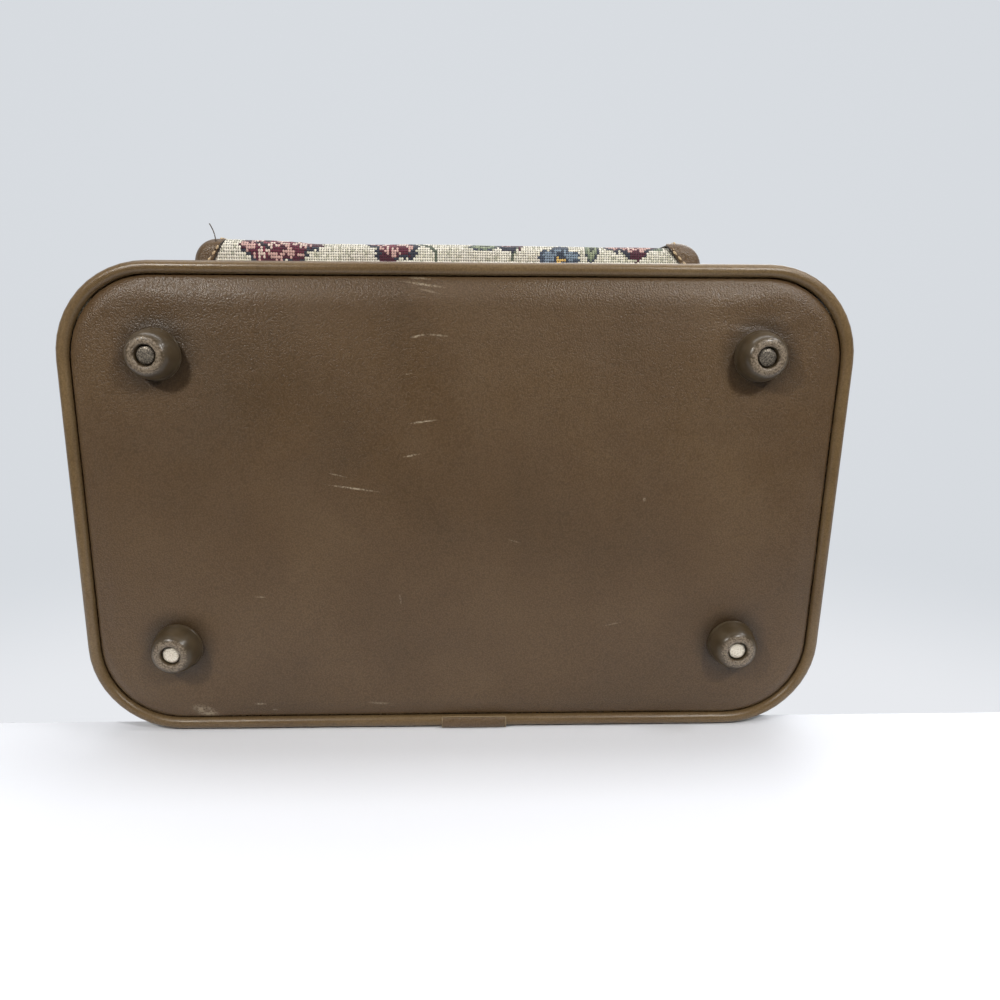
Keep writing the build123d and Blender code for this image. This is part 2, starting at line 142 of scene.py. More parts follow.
def grid_sheet(columns, rows, size, way, upright=False):
    """A sheet in a grid of squares, flat or upright, stretched and moved. It stays in edit mode."""
    bpy.ops.object.select_all(action="DESELECT")
    bpy.ops.mesh.primitive_grid_add(x_subdivisions=columns, y_subdivisions=rows, size=1,
                                    location=(0, 0, 0),
                                    rotation=(math.radians(90) if upright else 0, 0, 0))
    sheet = bpy.context.object
    fix_place()
    edit_all(sheet)
    stretch_and_move(size, way)
    return sheet


def pick(piece, kind, test):
    """Selects vertices or faces by their place, and edges by their two ends. Stays in edit mode."""
    edit(piece, kind)
    bpy.ops.mesh.select_all(action="DESELECT")
    leave()
    mesh = piece.data
    for spot in mesh.vertices:
        spot.select = kind == "VERT" and test(spot.co)
    for edge in mesh.edges:
        ends = [mesh.vertices[i].co for i in edge.vertices]
        edge.select = kind == "EDGE" and test(*ends)
    for face in mesh.polygons:
        face.select = kind == "FACE" and test(face.center, face.normal)
    bpy.ops.object.mode_set(mode="EDIT")


def modify(piece, kind, **settings):
    """Adds a modifier and applies it at once."""
    take(piece)
    bpy.ops.object.modifier_add(type=kind)
    modifier = piece.modifiers[-1]
    for name, value in settings.items():
        setattr(modifier, name, value)
    bpy.ops.object.modifier_apply(modifier=modifier.name)


def join(pieces):
    """Several objects become one."""
    take(pieces[0])
    for other in pieces[1:]:
        other.select_set(True)
    if len(pieces) > 1:
        bpy.ops.object.join()
    return bpy.context.object


def deliver(piece, name, finish, body, stands_for=(), angle=40):
    """Names a piece, settles its place in its mesh, and gives it its finish and its body."""
    take(piece)
    fix_place()
    bpy.ops.object.shade_smooth_by_angle(angle=math.radians(angle))
    piece.name = name
    piece.data.name = name
    piece.data.materials.clear()
    piece.data.materials.append(finish)
    if body:
        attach(piece, body)
    if stands_for:
        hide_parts(*stands_for)
    print(name, len(piece.data.polygons), "faces")
    return piece


# %% [markdown]
# Colour and nodes. Colours are picked as they look on a screen, as hex values, while Cycles counts
# light in even steps. One function turns the first into the second. One more adds a shader node
# with its settings, and links whatever socket it is handed. The short ones that follow add the nodes
# that every finish is made of: a noise, a change of range, a mix, a sum, a row of tones and a bump.

# %% Colour and node tools
def colour(code, share=1.0):
    parts = [int(code[i : i + 2], 16) / 255 for i in (0, 2, 4)]
    linear = [p / 12.92 if p <= 0.04045 else ((p + 0.055) / 1.055) ** 2.4 for p in parts]
    return (*[p * share for p in linear], 1.0)


def feed(tree, node, inputs):
    """Each named input of a node is linked to the socket it is handed, or set to the value."""
    for name, value in inputs.items():
        if isinstance(value, bpy.types.NodeSocket):
            tree.links.new(value, node.inputs[name])
        else:
            node.inputs[name].default_value = value


def add(tree, kind, inputs=None, **settings):
    made = tree.nodes.new("ShaderNode" + kind)
    for name, value in settings.items():
        setattr(made, name, value)
    feed(tree, made, inputs or {})
    return made


def new_finish(name):
    """A material with its surface shader, and the coordinates fixed to the object."""
    finish = bpy.data.materials.new(name)
    finish.use_nodes = True
    tree = finish.node_tree
    surface = tree.nodes["Principled BSDF"]
    where = add(tree, "TexCoord").outputs["Object"]
    return finish, tree, surface, where


def noisy(tree, where, size, detail=2.0, **more):
    """A noise whose spots are about this size."""
    inputs = {"Vector": where, "Scale": 1 / size, "Detail": detail, **more}
    return add(tree, "TexNoise", inputs).outputs["Fac"]


def remap(tree, value, start=0.0, end=1.0, low=0.0, high=1.0, **settings):
    """A value's range from start to end becomes the range from low to high."""
    inputs = {"Value": value, "From Min": start, "From Max": end, "To Min": low, "To Max": high}
    return add(tree, "MapRange", inputs, **settings).outputs["Result"]


def mix(tree, share, first, second, how="MIX"):
    inputs = {"Fac": share, "Color1": first, "Color2": second}
    return add(tree, "MixRGB", inputs, blend_type=how).outputs["Color"]


def compute(tree, *values, how):
    """One step of arithmetic."""
    return add(tree, "Math", dict(enumerate(values)), operation=how).outputs["Value"]


def tones(tree, value, *stops, sharp=False):
    """Colours along a value. A stop is its place, its hex and, where it is dimmed, its share."""
    made = add(tree, "ValToRGB", {"Fac": value})
    row = made.color_ramp.elements
    while len(row) > 1:
        row.remove(row[-1])
    (place, *shade), *others = stops
    row[0].position, row[0].color = place, colour(*shade)
    for place, *shade in others:
        row.new(place).color = colour(*shade)
    if sharp:
        made.color_ramp.interpolation = "CONSTANT"
    return made.outputs["Color"]


def bumped(tree, height, strength, depth, **settings):
    inputs = {"Height": height, "Strength": strength, "Distance": depth}
    return add(tree, "Bump", inputs, **settings).outputs["Normal"]


# %% [markdown]
# The camera. The case lies on its back in the photograph and its base faces the viewer, so here,
# where it stands on its feet, the camera looks up at it from under the floor. Its place was fitted to
# the base's outline and the four feet, through a phone's usual lens.

# %% Camera
CAMERA_PLACE = Vector((7.9 * MM, MIDDLE_Y - 76.2 * MM, -290.3 * MM))
CAMERA_RIGHT = Vector((0.9996, -0.0049, -0.0291))
CAMERA_FORWARD = Vector((0.0295, 0.2300, 0.9728))
LENS_PIXELS = 742
PICTURE_PIXELS = 1000
SENSOR = 36

bpy.ops.object.select_all(action="DESELECT")
bpy.ops.object.camera_add(location=CAMERA_PLACE)
camera = bpy.context.object
backward = -CAMERA_FORWARD.normalized()
up = backward.cross(CAMERA_RIGHT).normalized()
right = up.cross(backward)
camera.rotation_euler = Matrix((right, up, backward)).transposed().to_euler()
camera.data.sensor_width = SENSOR
camera.data.lens = SENSOR * LENS_PIXELS / PICTURE_PIXELS
camera.data.clip_start = 5 * MM
camera.data.clip_end = 20
bpy.context.scene.camera = camera
print("lens", round(camera.data.lens, 2), "mm")

# %% [markdown]
# The stage. A pale floor lies under the feet, and a pale cloth stands at the case's back, where it
# rested for its photograph. Both are seen from one side only, so that neither hides the base from
# a camera under the floor. Two small windows light the base from below the front, one to each side,
# at about 50 degrees: each foot's shadow falls away from the nearer one. A long low window and one in
# the right corner catch the roll and the piping, a faint bounce comes from behind, and a panel
# overhead and a window on the cloth keep the room bright above.

# %% Stage
def stage_finish(name, code):
    """Matt painted paper or cotton, clear from behind."""
    finish, tree, surface, where = new_finish(name)
    cloud = add(tree, "TexNoise", {"Vector": where, "Scale": 3.0, "Detail": 3.0}).outputs["Fac"]
    feed(tree, surface, {
        "Base Color": tones(tree, cloud, (0.3, code, 0.97), (0.7, code)), "Roughness": 0.9,
    })
    side = add(tree, "NewGeometry").outputs["Backfacing"]
    clear = add(tree, "BsdfTransparent").outputs["BSDF"]
    both = add(tree, "MixShader", {0: side, 1: surface.outputs["BSDF"], 2: clear})
    feed(tree, tree.nodes["Material Output"], {"Surface": both.outputs["Shader"]})
    return finish


FLOOR_SIZE = 3.0
CLOTH_WIDTH = 3.0
CLOTH_DROP = 170 * MM
CLOTH_RISE = 20 * MM
CLOTH_GAP = 0.5 * MM
cloth_face = piping_high.y + CLOTH_GAP

bpy.ops.mesh.primitive_plane_add(size=FLOOR_SIZE, location=(0, 0, 0))
floor = bpy.context.object
floor.name = "stage_floor"
bpy.ops.mesh.primitive_plane_add(size=1, location=(0, cloth_face, (CLOTH_RISE - CLOTH_DROP) / 2))
backcloth = bpy.context.object
backcloth.name = "stage_cloth"
edit_all(backcloth)
bpy.ops.transform.resize(value=(CLOTH_WIDTH, CLOTH_RISE + CLOTH_DROP, 1))
bpy.ops.transform.rotate(value=math.radians(90), orient_axis="X", center_override=backcloth.location)
leave()
if backcloth.data.polygons[0].normal.y > 0:
    flip(backcloth)
for sheet, finish in (
    (floor, stage_finish("matt_paper_floor", "EEEFF1")),
    (backcloth, stage_finish("cotton_backcloth", "E4E7EE")),
):
    take(sheet)
    fix_place()
    sheet.data.materials.append(finish)
    sheet.visible_shadow = False
floor.visible_diffuse = False
floor.visible_glossy = False
floor.visible_transmission = False
print("backcloth faces", tuple(round(x, 2) for x in backcloth.data.polygons[0].normal))

# %% Light
def window(name, place, size, power, tint):
    """An area light that faces the middle of the case."""
    bpy.ops.object.light_add(type="AREA", location=place)
    light = bpy.context.object
    light.name = name
    light.data.shape = "RECTANGLE"
    light.data.size, light.data.size_y = size
    light.data.energy = power
    light.data.color = colour(tint)[:3]
    aim = Vector((0, MIDDLE_Y, 30 * MM)) - Vector(place)
    light.rotation_euler = aim.to_track_quat("-Z", "Y").to_euler()
    return light


window("left_window", (-0.33, -0.34, -0.38), (0.06, 0.06), 1.9, "FFFBF4")
window("right_window", (0.28, -0.34, -0.36), (0.06, 0.06), 1.6, "FFFDF9")
window("front_window", (0.0, -1.1, -0.22), (1.5, 0.14), 1.5, "FFF6EA")
window("corner_window", (0.55, -0.60, -0.13), (0.12, 0.2), 1.3, "FFFFFF")
window("back_bounce", (0.0, 0.55, -0.75), (1.4, 0.5), 0.45, "FFF6EA")
window("overhead", (0.35, -0.7, 1.5), (1.2, 1.2), 16, "FFFDFA")
window("cloth_window", (0.0, -1.7, 0.30), (2.0, 0.3), 12, "FFFFFF")

room = bpy.data.worlds.new("room")
bpy.context.scene.world = room
room.use_nodes = True
sky = room.node_tree
way = add(sky, "SeparateXYZ", {"Vector": add(sky, "TexCoord").outputs["Generated"]}).outputs
by_height = tones(sky, remap(sky, way["Z"], -1.0, 1.0), (0.0, "0E0D0C"), (0.32, "1C1B1A"),
                  (0.5, "8E8E90"), (0.7, "D2D6DB"), (1.0, "D9DDE2"))
beyond = remap(sky, way["Y"], 0.26, 0.42, interpolation_type="SMOOTHSTEP")
table = compute(sky, beyond, remap(sky, way["Z"], 0.2, 0.6), how="MULTIPLY")
feed(sky, sky.nodes["Background"], {"Color": mix(sky, table, by_height, colour("E8EAEE"))})
bpy.context.scene.view_settings.view_transform = "Standard"

# %% [markdown]
# Vinyl. The base, the pocket's ends, the handle and the pulls are PVC leathercloth: a brown film
# calendered on cloth and embossed with a fine pebble grain. To the eye it is a satin brown with a
# soft broad shine that breaks up into tiny grain where light grazes it. Each pebble is about 0.6 mm,
# and the cloudy change of tone is about 70 mm wide.

# %% Vinyl finishes
PEBBLE = 0.6 * MM
CLOUD = 70 * MM


def grain(tree, where, depth):
    """Embossed pebbles with fine creases between them: their height, and the bump's normal."""
    bend = add(tree, "TexNoise", {"Vector": where, "Scale": 0.6 / PEBBLE, "Detail": 2.0})
    soft = mix(tree, 0.0006, where, bend.outputs["Color"], "ADD")
    cells = add(tree, "TexVoronoi", {"Vector": soft, "Scale": 1 / PEBBLE, "Smoothness": 0.6},
                feature="SMOOTH_F1")
    fine = add(tree, "TexNoise", {"Vector": where, "Scale": 2.5 / PEBBLE, "Detail": 3.0})
    both = compute(tree, fine.outputs["Fac"], 0.35, cells.outputs["Distance"], how="MULTIPLY_ADD")
    return both, bumped(tree, both, 1.0, depth, invert=True)


def vinyl(name, dark, mid, light, rough=0.40, depth=0.15 * MM):
    """Embossed PVC leathercloth in three tones of one brown, with a painted highlight on each pebble's crown
    and painted shade in the creases.
    """
    finish, tree, surface, where = new_finish(name)
    cloud = noisy(tree, where, CLOUD, 4.0, Roughness=0.6, Distortion=0.3)
    tone = tones(tree, cloud, (0.28, dark), (0.5, mid), (0.74, light))
    speck = remap(tree, noisy(tree, where, 1.4 * MM), 0.3, 0.7, 0.96, 1.04)
    worn = mix(tree, 1.0, tone, speck, "MULTIPLY")
    pebbled, normal = grain(tree, where, depth)
    # Painted highlight and shade: each pebble's crown is painted a paler grey and the creases between
    # pebbles darker.
    crown = remap(tree, pebbled, 0.25, 0.62, 0.12, 0.0)
    crease = remap(tree, pebbled, 0.55, 0.9, 1.0, 0.78)
    pale = mix(tree, crown, worn, colour("8C7D69"))
    toned = mix(tree, 1.0, pale, crease, "MULTIPLY")
    polish = noisy(tree, where, 25 * MM, 3.0)
    gloss = remap(tree, polish, 0.3, 0.7, rough - 0.05, rough + 0.07)
    feed(tree, surface, {"Base Color": toned, "Roughness": gloss, "Normal": normal, "IOR": 1.47})
    return finish, tree, surface, toned


BASE_MARKS = (
    (-56.4, -11.9, -31.4, -8.4, 0.42, 0.8), (-54.1, -16.6, -45.0, -14.5, 0.35, 0.45),
    (-23.5, -23.1, -15.2, -24.6, 0.4, 0.7), (-22.0, -36.7, -7.9, -38.6, 0.42, 0.8),
    (-18.7, -71.0, -12.3, -72.4, 0.5, 0.75), (-13.0, -72.4, -2.7, -71.6, 0.4, 0.6),
    (-22.5, -92.6, -3.6, -90.0, 0.5, 0.6), (-20.0, -94.0, -8.0, -93.4, 0.45, 0.5),
    (-16.0, -90.0, -6.0, -87.6, 0.4, 0.35), (-22.3, -56.7, -17.9, -57.1, 0.35, 0.5),
    (-87.5, 37.0, -82.0, 37.4, 0.4, 0.4), (-91.2, 87.3, -85.1, 87.4, 0.5, 0.6),
    (-83.5, 90.4, -81.0, 91.0, 0.5, 0.6), (77.2, -6.2, 78.0, -4.0, 0.7, 0.5),
    (-25.9, 36.0, -25.2, 41.0, 0.5, 0.45), (-119.1, 88.2, -106.5, 93.7, 3.0, 0.6),
    (60.0, 52.0, 71.0, 49.5, 0.35, 0.3), (20.0, 12.0, 26.5, 13.8, 0.35, 0.3),
    (-42.0, 87.0, -30.0, 88.0, 0.6, 0.4), (-21.5, -97.6, -14.0, -97.4, 0.7, 0.7),
)
SCUFF_SPREAD = 1.15
# Painted shade round each foot: the colour is halved out to the start and comes back by the reach.
FOOT_SHADE_START = 9.5 * MM
FOOT_SHADE_REACH = 19 * MM


def scuff_and_shade_feet(finish_parts, marks):
    """Rubs pale broken marks into a finish: each is (x, y, x, y, width, strength), in millimetres.
    Painted shade darkens the colour under and round each foot, in its dent."""
    finish, tree, surface, shade = finish_parts
    where = add(tree, "TexCoord").outputs["Object"]
    torn = remap(tree, noisy(tree, where, 0.9 * MM, 4.0), 0.37, 0.58)
    total = None
    for x0, y0, x1, y1, width, strength in marks:
        middle = ((x0 + x1) / 2 * MM, (y0 + y1) / 2 * MM + MIDDLE_Y, PANEL_Z)
        half = math.hypot(x1 - x0, y1 - y0) / 2 * MM
        laid = add(tree, "Mapping", {
            "Vector": where, "Location": middle, "Rotation": (0, 0, math.atan2(y1 - y0, x1 - x0)),
            "Scale": (half, SCUFF_SPREAD * width * MM, 1.0),
        }, vector_type="TEXTURE")
        away = add(tree, "VectorMath", {0: laid.outputs["Vector"]}, operation="LENGTH")
        mark = remap(tree, away.outputs["Value"], 1.0, 0.4, 0.0, 0.9 * strength)
        total = mark if total is None else compute(tree, total, mark, how="MAXIMUM")
    pale_with_painted_light = mix(tree, compute(tree, total, torn, how="MULTIPLY"), shade, colour("B0A28B"))
    # Painted shade: each foot's shadow and the shade in its dent are painted into the colour here.
    for centre in foot_centres:
        flat = add(tree, "Mapping", {"Vector": where, "Location": (-centre.x, -centre.y, 0),
                                     "Scale": (1, 1, 0)})
        away = add(tree, "VectorMath", {0: flat.outputs["Vector"]}, operation="LENGTH")
        foot_shade = remap(tree, away.outputs["Value"], FOOT_SHADE_START, FOOT_SHADE_REACH, 0.5, 1.0,
                     interpolation_type="SMOOTHSTEP")
        pale_with_painted_light = mix(tree, 1.0, pale_with_painted_light, foot_shade, "MULTIPLY")
    feed(tree, surface, {"Base Color": pale_with_painted_light})
    return finish


base_vinyl = scuff_and_shade_feet(vinyl("embossed_pvc_leathercloth_base", "503D27", "59442C", "624D34"), BASE_MARKS)
vinyl_finish = vinyl("embossed_pvc_leathercloth", "503D27", "59442C", "624D34")[0]
cord_finish = vinyl("piping_leathercloth", "604B31", "6D583B", "7A6546", rough=0.34, depth=0.04 * MM)[0]

# %% [markdown]
# The outline as a start. A plane is sized, its front edge is pushed sideways by the lean, and its
# four corners are bevelled into arcs. The long edges are then cut finely. Almost every sheet of the
# case starts from this loop: walls are it pulled up, the piping is it given a thickness, and the
# padded panels are it rolled inwards and filled.

# %% The case's outline
CORNER_CUTS = 12
LONG_CUTS = 70
SHORT_CUTS = 36


def outline(name, inset, height, filled=True):
    """The rounded, leaning outline, this far inside the tapestry face."""
    bpy.ops.object.select_all(action="DESELECT")
    bpy.ops.mesh.primitive_plane_add(size=1, location=(0, MIDDLE_Y, height))
    piece = bpy.context.object
    piece.name = name
    take(piece)
    fix_place()
    width, depth = FACE_WIDTH - 2 * inset, FACE_DEPTH - 2 * inset
    edit_all(piece)
    middle = (0, MIDDLE_Y, height)
    bpy.ops.transform.resize(value=(width, depth, 1), center_override=middle)
    for way in (-1, 1):
        pick(piece, "VERT", lambda spot: way * (spot.y - MIDDLE_Y) > 0)
        bpy.ops.transform.translate(value=(LEAN * way * depth / 2, 0, 0))
    bpy.ops.mesh.select_all(action="SELECT")
    bpy.ops.mesh.bevel(offset=FACE_CORNER - inset, offset_type="OFFSET", segments=CORNER_CUTS,
                       affect="VERTICES", profile=0.5, clamp_overlap=False)
    bpy.ops.mesh.delete(type="ONLY_FACE")
    pick(piece, "EDGE", lambda a, b: abs(a.x - b.x) > 50 * MM)
    bpy.ops.mesh.subdivide(number_cuts=LONG_CUTS - 1)
    pick(piece, "EDGE", lambda a, b: abs(a.y - b.y) > 50 * MM)
    bpy.ops.mesh.subdivide(number_cuts=SHORT_CUTS - 1)
    if filled:
        bpy.ops.mesh.select_all(action="SELECT")
        bpy.ops.mesh.edge_face_add()
    leave()
    return piece


def face_way(piece, direction):
    """Turns a sheet's faces so that, on average, they look along a direction."""
    total = Vector((0, 0, 0))
    for face in piece.data.polygons:
        total += face.normal * face.area
    if total.dot(Vector(direction)) < 0:
        flip(piece)


# %% [markdown]
# The base panel is vinyl over thin wadding, pulled over the board and riveted down at four feet. Its
# edge rolls over into the groove beside the piping. The roll is made by insetting the outline a few
# times, each ring narrower and lower, and the middle is filled with a grid. The dents round the feet
# are drawn in next. Then it is blown up a little as cloth: the edge and the four foot seats are
# pinned, and the rest swells between them, as the wadding does in the real one.

# %% A padded panel, rolled at the edge and swollen between its pins
ROLL_SHARES = (0.18, 0.4, 0.6, 0.76, 0.87, 0.94, 0.98)
ROLL_DROP = 4.8 * MM
PIN_DEPTH = 3.0 * MM


def rolled_sheet(name, edge_z, flat_z):
    piece = outline(name, PANEL_INSET, edge_z)
    rise = flat_z - edge_z
    face_way(piece, (0, 0, rise))
    edit_all(piece, "FACE")
    done_in, done_up = 0.0, 0.0
    for share in ROLL_SHARES:
        inwards = ROLL_WIDTH * (1 - (1 - share**2) ** 0.5)
        upwards = abs(rise) * share
        bpy.ops.mesh.inset(thickness=inwards - done_in, depth=upwards - done_up, use_even_offset=True)
        done_in, done_up = inwards, upwards
    bpy.ops.mesh.inset(thickness=ROLL_WIDTH - done_in, depth=abs(rise) - done_up, use_even_offset=True)
    bpy.ops.mesh.delete(type="ONLY_FACE")
    near_flat = abs(rise) * 0.001
    pick(piece, "EDGE", lambda a, b: max(abs(a.z - flat_z), abs(b.z - flat_z)) < near_flat)
    bpy.ops.mesh.fill_grid(span=SHORT_CUTS + CORNER_CUTS, offset=CORNER_CUTS // 2)
    leave()
    face_way(piece, (0, 0, rise))
    return piece


def swell(piece, pins, pressure, most):
    """Cloth under pressure, held where pins(place) says, and moved by no more than `most`."""
    start = [spot.co.copy() for spot in piece.data.vertices]
    held = piece.vertex_groups.new(name="held")
    for i, place in enumerate(start):
        grip = pins(place)
        if grip > 0:
            held.add([i], grip, "REPLACE")
    take(piece)
    bpy.ops.object.modifier_add(type="CLOTH")
    cloth = piece.modifiers[-1]
    cloth.settings.quality = 6
    cloth.settings.mass = 0.3
    cloth.settings.tension_stiffness = 25
    cloth.settings.compression_stiffness = 25
    cloth.settings.shear_stiffness = 10
    cloth.settings.bending_stiffness = 1.5
    cloth.settings.vertex_group_mass = "held"
    cloth.settings.use_pressure = True
    cloth.settings.uniform_pressure_force = pressure
    cloth.settings.effector_weights.gravity = 0
    cloth.collision_settings.use_self_collision = False
    cloth.point_cache.frame_start, cloth.point_cache.frame_end = 1, 20
    for step in range(1, 21):
        bpy.context.scene.frame_set(step)
    bpy.ops.object.modifier_apply(modifier=cloth.name)
    bpy.context.scene.frame_set(1)
    largest = 0.0
    for spot, place in zip(piece.data.vertices, start):
        shift = spot.co - place
        largest = max(largest, shift.length)
        if shift.length > 1e-9:
            spot.co = place + shift * (most * math.tanh(shift.length / most) / shift.length)
    print(piece.name, "swelled by", round(largest / MM, 2), "mm before its limit of", most / MM)


def waves(piece, size, height, axis=2, seed=0.0, where=lambda place: 1.0):
    """Slow hand-made unevenness along one axis."""
    for spot in piece.data.vertices:
        lift = noise.noise(spot.co / size + Vector((seed, seed, seed)))
        spot.co[axis] += height * lift * where(spot.co)


# %% The base panel
FOOT_RADIUS = (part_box("foot_front_left")[1].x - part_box("foot_front_left")[0].x) / 2
FOOT_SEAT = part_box("foot_front_left")[1].z
DENT = FOOT_SEAT - PANEL_Z
DENT_START = 1.0 * MM
DENT_REACHES = (4.5 * MM, 14 * MM)


def flat_distance(place, centre):
    return math.hypot(place.x - centre.x, place.y - centre.y)


def base_pins(place):
    nearest = min(flat_distance(place, centre) for centre in foot_centres)
    if place.z > PANEL_Z + PIN_DEPTH or nearest < FOOT_RADIUS + 1 * MM:
        return 1.0
    return 0.0


base_panel = rolled_sheet("base_panel", PANEL_Z + ROLL_DROP, PANEL_Z)
for spot in base_panel.data.vertices:
    nearest = min(flat_distance(spot.co, centre) for centre in foot_centres)
    for reach in DENT_REACHES:
        fall = max(0.0, min(1.0, (FOOT_RADIUS + reach - nearest) / (reach - DENT_START)))
        spot.co.z += 0.5 * DENT * fall * fall * (3 - 2 * fall)
print("dent at each foot", round(DENT / MM, 2), "mm")
swell(base_panel, base_pins, -4.0, 1.1 * MM)
inner = lambda place: 0.0 if base_pins(place) else 1.0
waves(base_panel, 48 * MM, 0.35 * MM, where=inner)
modify(base_panel, "SUBSURF", levels=1, render_levels=1)
deliver(base_panel, "base_panel", base_vinyl, "case_body", ["base_cover"], angle=80)

# %% [markdown]
# Piping. A cord of about 5 mm in a strip of the same vinyl runs once round the base and is sewn in by
# its flange. The outline itself becomes a curve with a thickness, and the tube is then made uneven:
# the wadding and the sewing make real piping wander by two or three tenths of a millimetre.

# %% Piping round the base and round the lid's top
PIPING_SIDES = 10
PIPING_OUT = 2.5 * MM


def piping(name, height, finish, body, node):
    piece = outline(name, PIPING_RADIUS - PIPING_OUT, height, filled=False)
    take(piece)
    bpy.ops.object.convert(target="CURVE")
    piece.data.bevel_depth = PIPING_RADIUS - 0.1 * MM
    piece.data.bevel_resolution = PIPING_SIDES
    bpy.ops.object.convert(target="MESH")
    centre = Vector((0, MIDDLE_Y, height))
    for spot in piece.data.vertices:
        away = spot.co - centre
        away.z = 0
        slow = noise.noise(spot.co / (38 * MM) + Vector((7, 0, height * 40)))
        quick = noise.noise(spot.co / (7 * MM) + Vector((0, 5, height * 40)))
        spot.co += away.normalized() * (0.10 * MM * slow)
        spot.co.z += 0.22 * MM * slow + 0.07 * MM * quick
    edit_all(piece)
    bpy.ops.mesh.remove_doubles(threshold=0.01 * MM)
    bpy.ops.mesh.normals_make_consistent(inside=False)
    leave()
    return deliver(piece, name, finish, body, [node], angle=80)


piping("base_cord", PIPING_Z, cord_finish, "case_body", "base_piping")

# %% [markdown]
# Turned shapes. A foot, a rivet or a washer is round about its own axis, so it can be drawn as a
# stack of rings. `turned` starts from a flat disc, and each step extrudes the cap to a new height and
# scales it to a new radius, which is what a turner does with one cut after another.

# %% Turning a shape ring by ring
def turned(name, centre, rings, sides):
    """Rings are (radius, height) from the first cap to the last. The caps are filled."""
    radius, height = rings[0]
    bpy.ops.object.select_all(action="DESELECT")
    bpy.ops.mesh.primitive_circle_add(vertices=sides, radius=radius, fill_type="NGON",
                                      location=(centre.x, centre.y, height))
    piece = bpy.context.object
    piece.name = name
    edit_all(piece, "FACE")
    for new_radius, new_height in rings[1:]:
        bpy.ops.mesh.extrude_region_move(
            TRANSFORM_OT_translate={"value": (0, 0, new_height - height)})
        share = new_radius / radius
        place = (centre.x, centre.y, new_height)
        bpy.ops.transform.resize(value=(share, share, 1), center_override=place)
        radius, height = new_radius, new_height
    bpy.ops.mesh.select_all(action="SELECT")
    bpy.ops.mesh.normals_make_consistent(inside=False)
    leave()
    take(piece)
    fix_place()
    return piece


# %% [markdown]
# Moulded plastic. The feet are injection moulded in a brown polypropylene. It is a little darker and
# cooler than the vinyl, half glossy on its flank, and its tip is scuffed to a pale gritty ring where
# the case stands on it. The grit is about 0.75 mm.

# %% Foot finish
FOOT_TIP_WEAR = 2.6 * MM
GRIT = 0.75 * MM


def foot_finish():
    finish, tree, surface, where = new_finish("moulded_brown_polypropylene")
    height = add(tree, "SeparateXYZ", {"Vector": where}).outputs["Z"]
    tone = tones(tree, noisy(tree, where, 6 * MM, 4.0), (0.3, "3F3424"), (0.7, "4E4231"))
    grit = noisy(tree, where, GRIT, 4.0, Roughness=0.7)
    low = remap(tree, height, 0.0, FOOT_TIP_WEAR, 1.0, 0.0)
    amount = remap(tree, compute(tree, low, grit, how="MULTIPLY"), 0.38, 0.58, 0.0, 0.75)
    feed(tree, surface, {
        "Base Color": mix(tree, amount, tone, colour("9C8D7B")), "IOR": 1.49,
        "Roughness": remap(tree, amount, low=0.3, high=0.75),
        "Normal": bumped(tree, grit, 0.35, 0.05 * MM),
    })
    return finish


foot_plastic = foot_finish()

# %% [markdown]
# The rivets are nickel-plated steel, domed and pitted by years of standing on them. Plating reflects
# the room. Their colour holds a painted reflection: the front pair is painted a mottled dark grey, the
# dark room they face, and the back pair a pale cream, the pale cloth behind them. The pits are about 0.6 mm.

# %% Rivet finish
PIT = 0.6 * MM


def rivet_finish():
    finish, tree, surface, where = new_finish("pitted_nickel_plated_steel")
    pits = noisy(tree, where, PIT, 5.0, Roughness=0.75)
    dark_painted_reflection = tones(tree, pits, (0.36, "2B2622"), (0.5, "6E675E"), (0.66, "B9AF9E"))
    pale_with_painted_light = tones(tree, pits, (0.3, "8C8070"), (0.42, "DDD2BD"), (0.6, "F4ECDC"))
    # Painted reflection: the back pair take the pale cream and the front pair the dark grey, by their place
    # along Y.
    depth = add(tree, "SeparateXYZ", {"Vector": where}).outputs["Y"]
    at_back = compute(tree, depth, MIDDLE_Y, how="GREATER_THAN")
    feed(tree, surface, {
        "Base Color": mix(tree, at_back, dark_painted_reflection, pale_with_painted_light), "Metallic": 0.6,
        "Roughness": remap(tree, pits, 0.35, 0.65, 0.6, 0.32),
        "Normal": bumped(tree, pits, 0.5, 0.12 * MM),
    })
    return finish


rivet_metal = rivet_finish()

# %% The four feet and their rivets
FOOT_RINGS = (
    (6.9, 9.9), (10.1, 10.25), (10.35, 10.0), (10.35, 9.7), (10.1, 9.45), (10.0, 9.1), (9.95, 8.2),
    (9.8, 6.6), (9.5, 4.8), (9.05, 3.2), (8.45, 1.9), (7.75, 0.95), (6.9, 0.3), (6.1, 0.05),
    (5.3, 0.0), (4.7, 0.08), (4.3, 0.35), (4.12, 0.9), (4.05, 1.7), (4.02, 2.6), (2.2, 2.6),
)
RIVET_RINGS = (
    (1.95, 14.0), (1.95, 2.75), (3.3, 2.6), (3.62, 2.35), (3.6, 1.95), (3.35, 1.6), (2.8, 1.42),
    (2.0, 1.34), (1.0, 1.3), (0.35, 1.29),
)
rivets = []
for foot_name, centre in zip(foot_names, foot_centres):
    foot = turned(foot_name, centre, [(r * MM, z * MM) for r, z in FOOT_RINGS], sides=64)
    side = foot_name.replace("foot_", "cone_")
    deliver(foot, side, foot_plastic, "case_body", [foot_name], angle=60)
    rivets.append(turned("rivet", centre, [(r * MM, z * MM) for r, z in RIVET_RINGS], sides=32))
deliver(join(rivets), "rivet_heads", rivet_metal, "case_body", ["foot_rivets"], angle=60)

# %% [markdown]
# The sleeve. The piping's two ends meet at the middle of the back and a short strip of vinyl is
# folded round them. It starts as a tube, its upper and inner sides are left open towards the wall
# and the panel, and its edges are thick enough to catch the light.

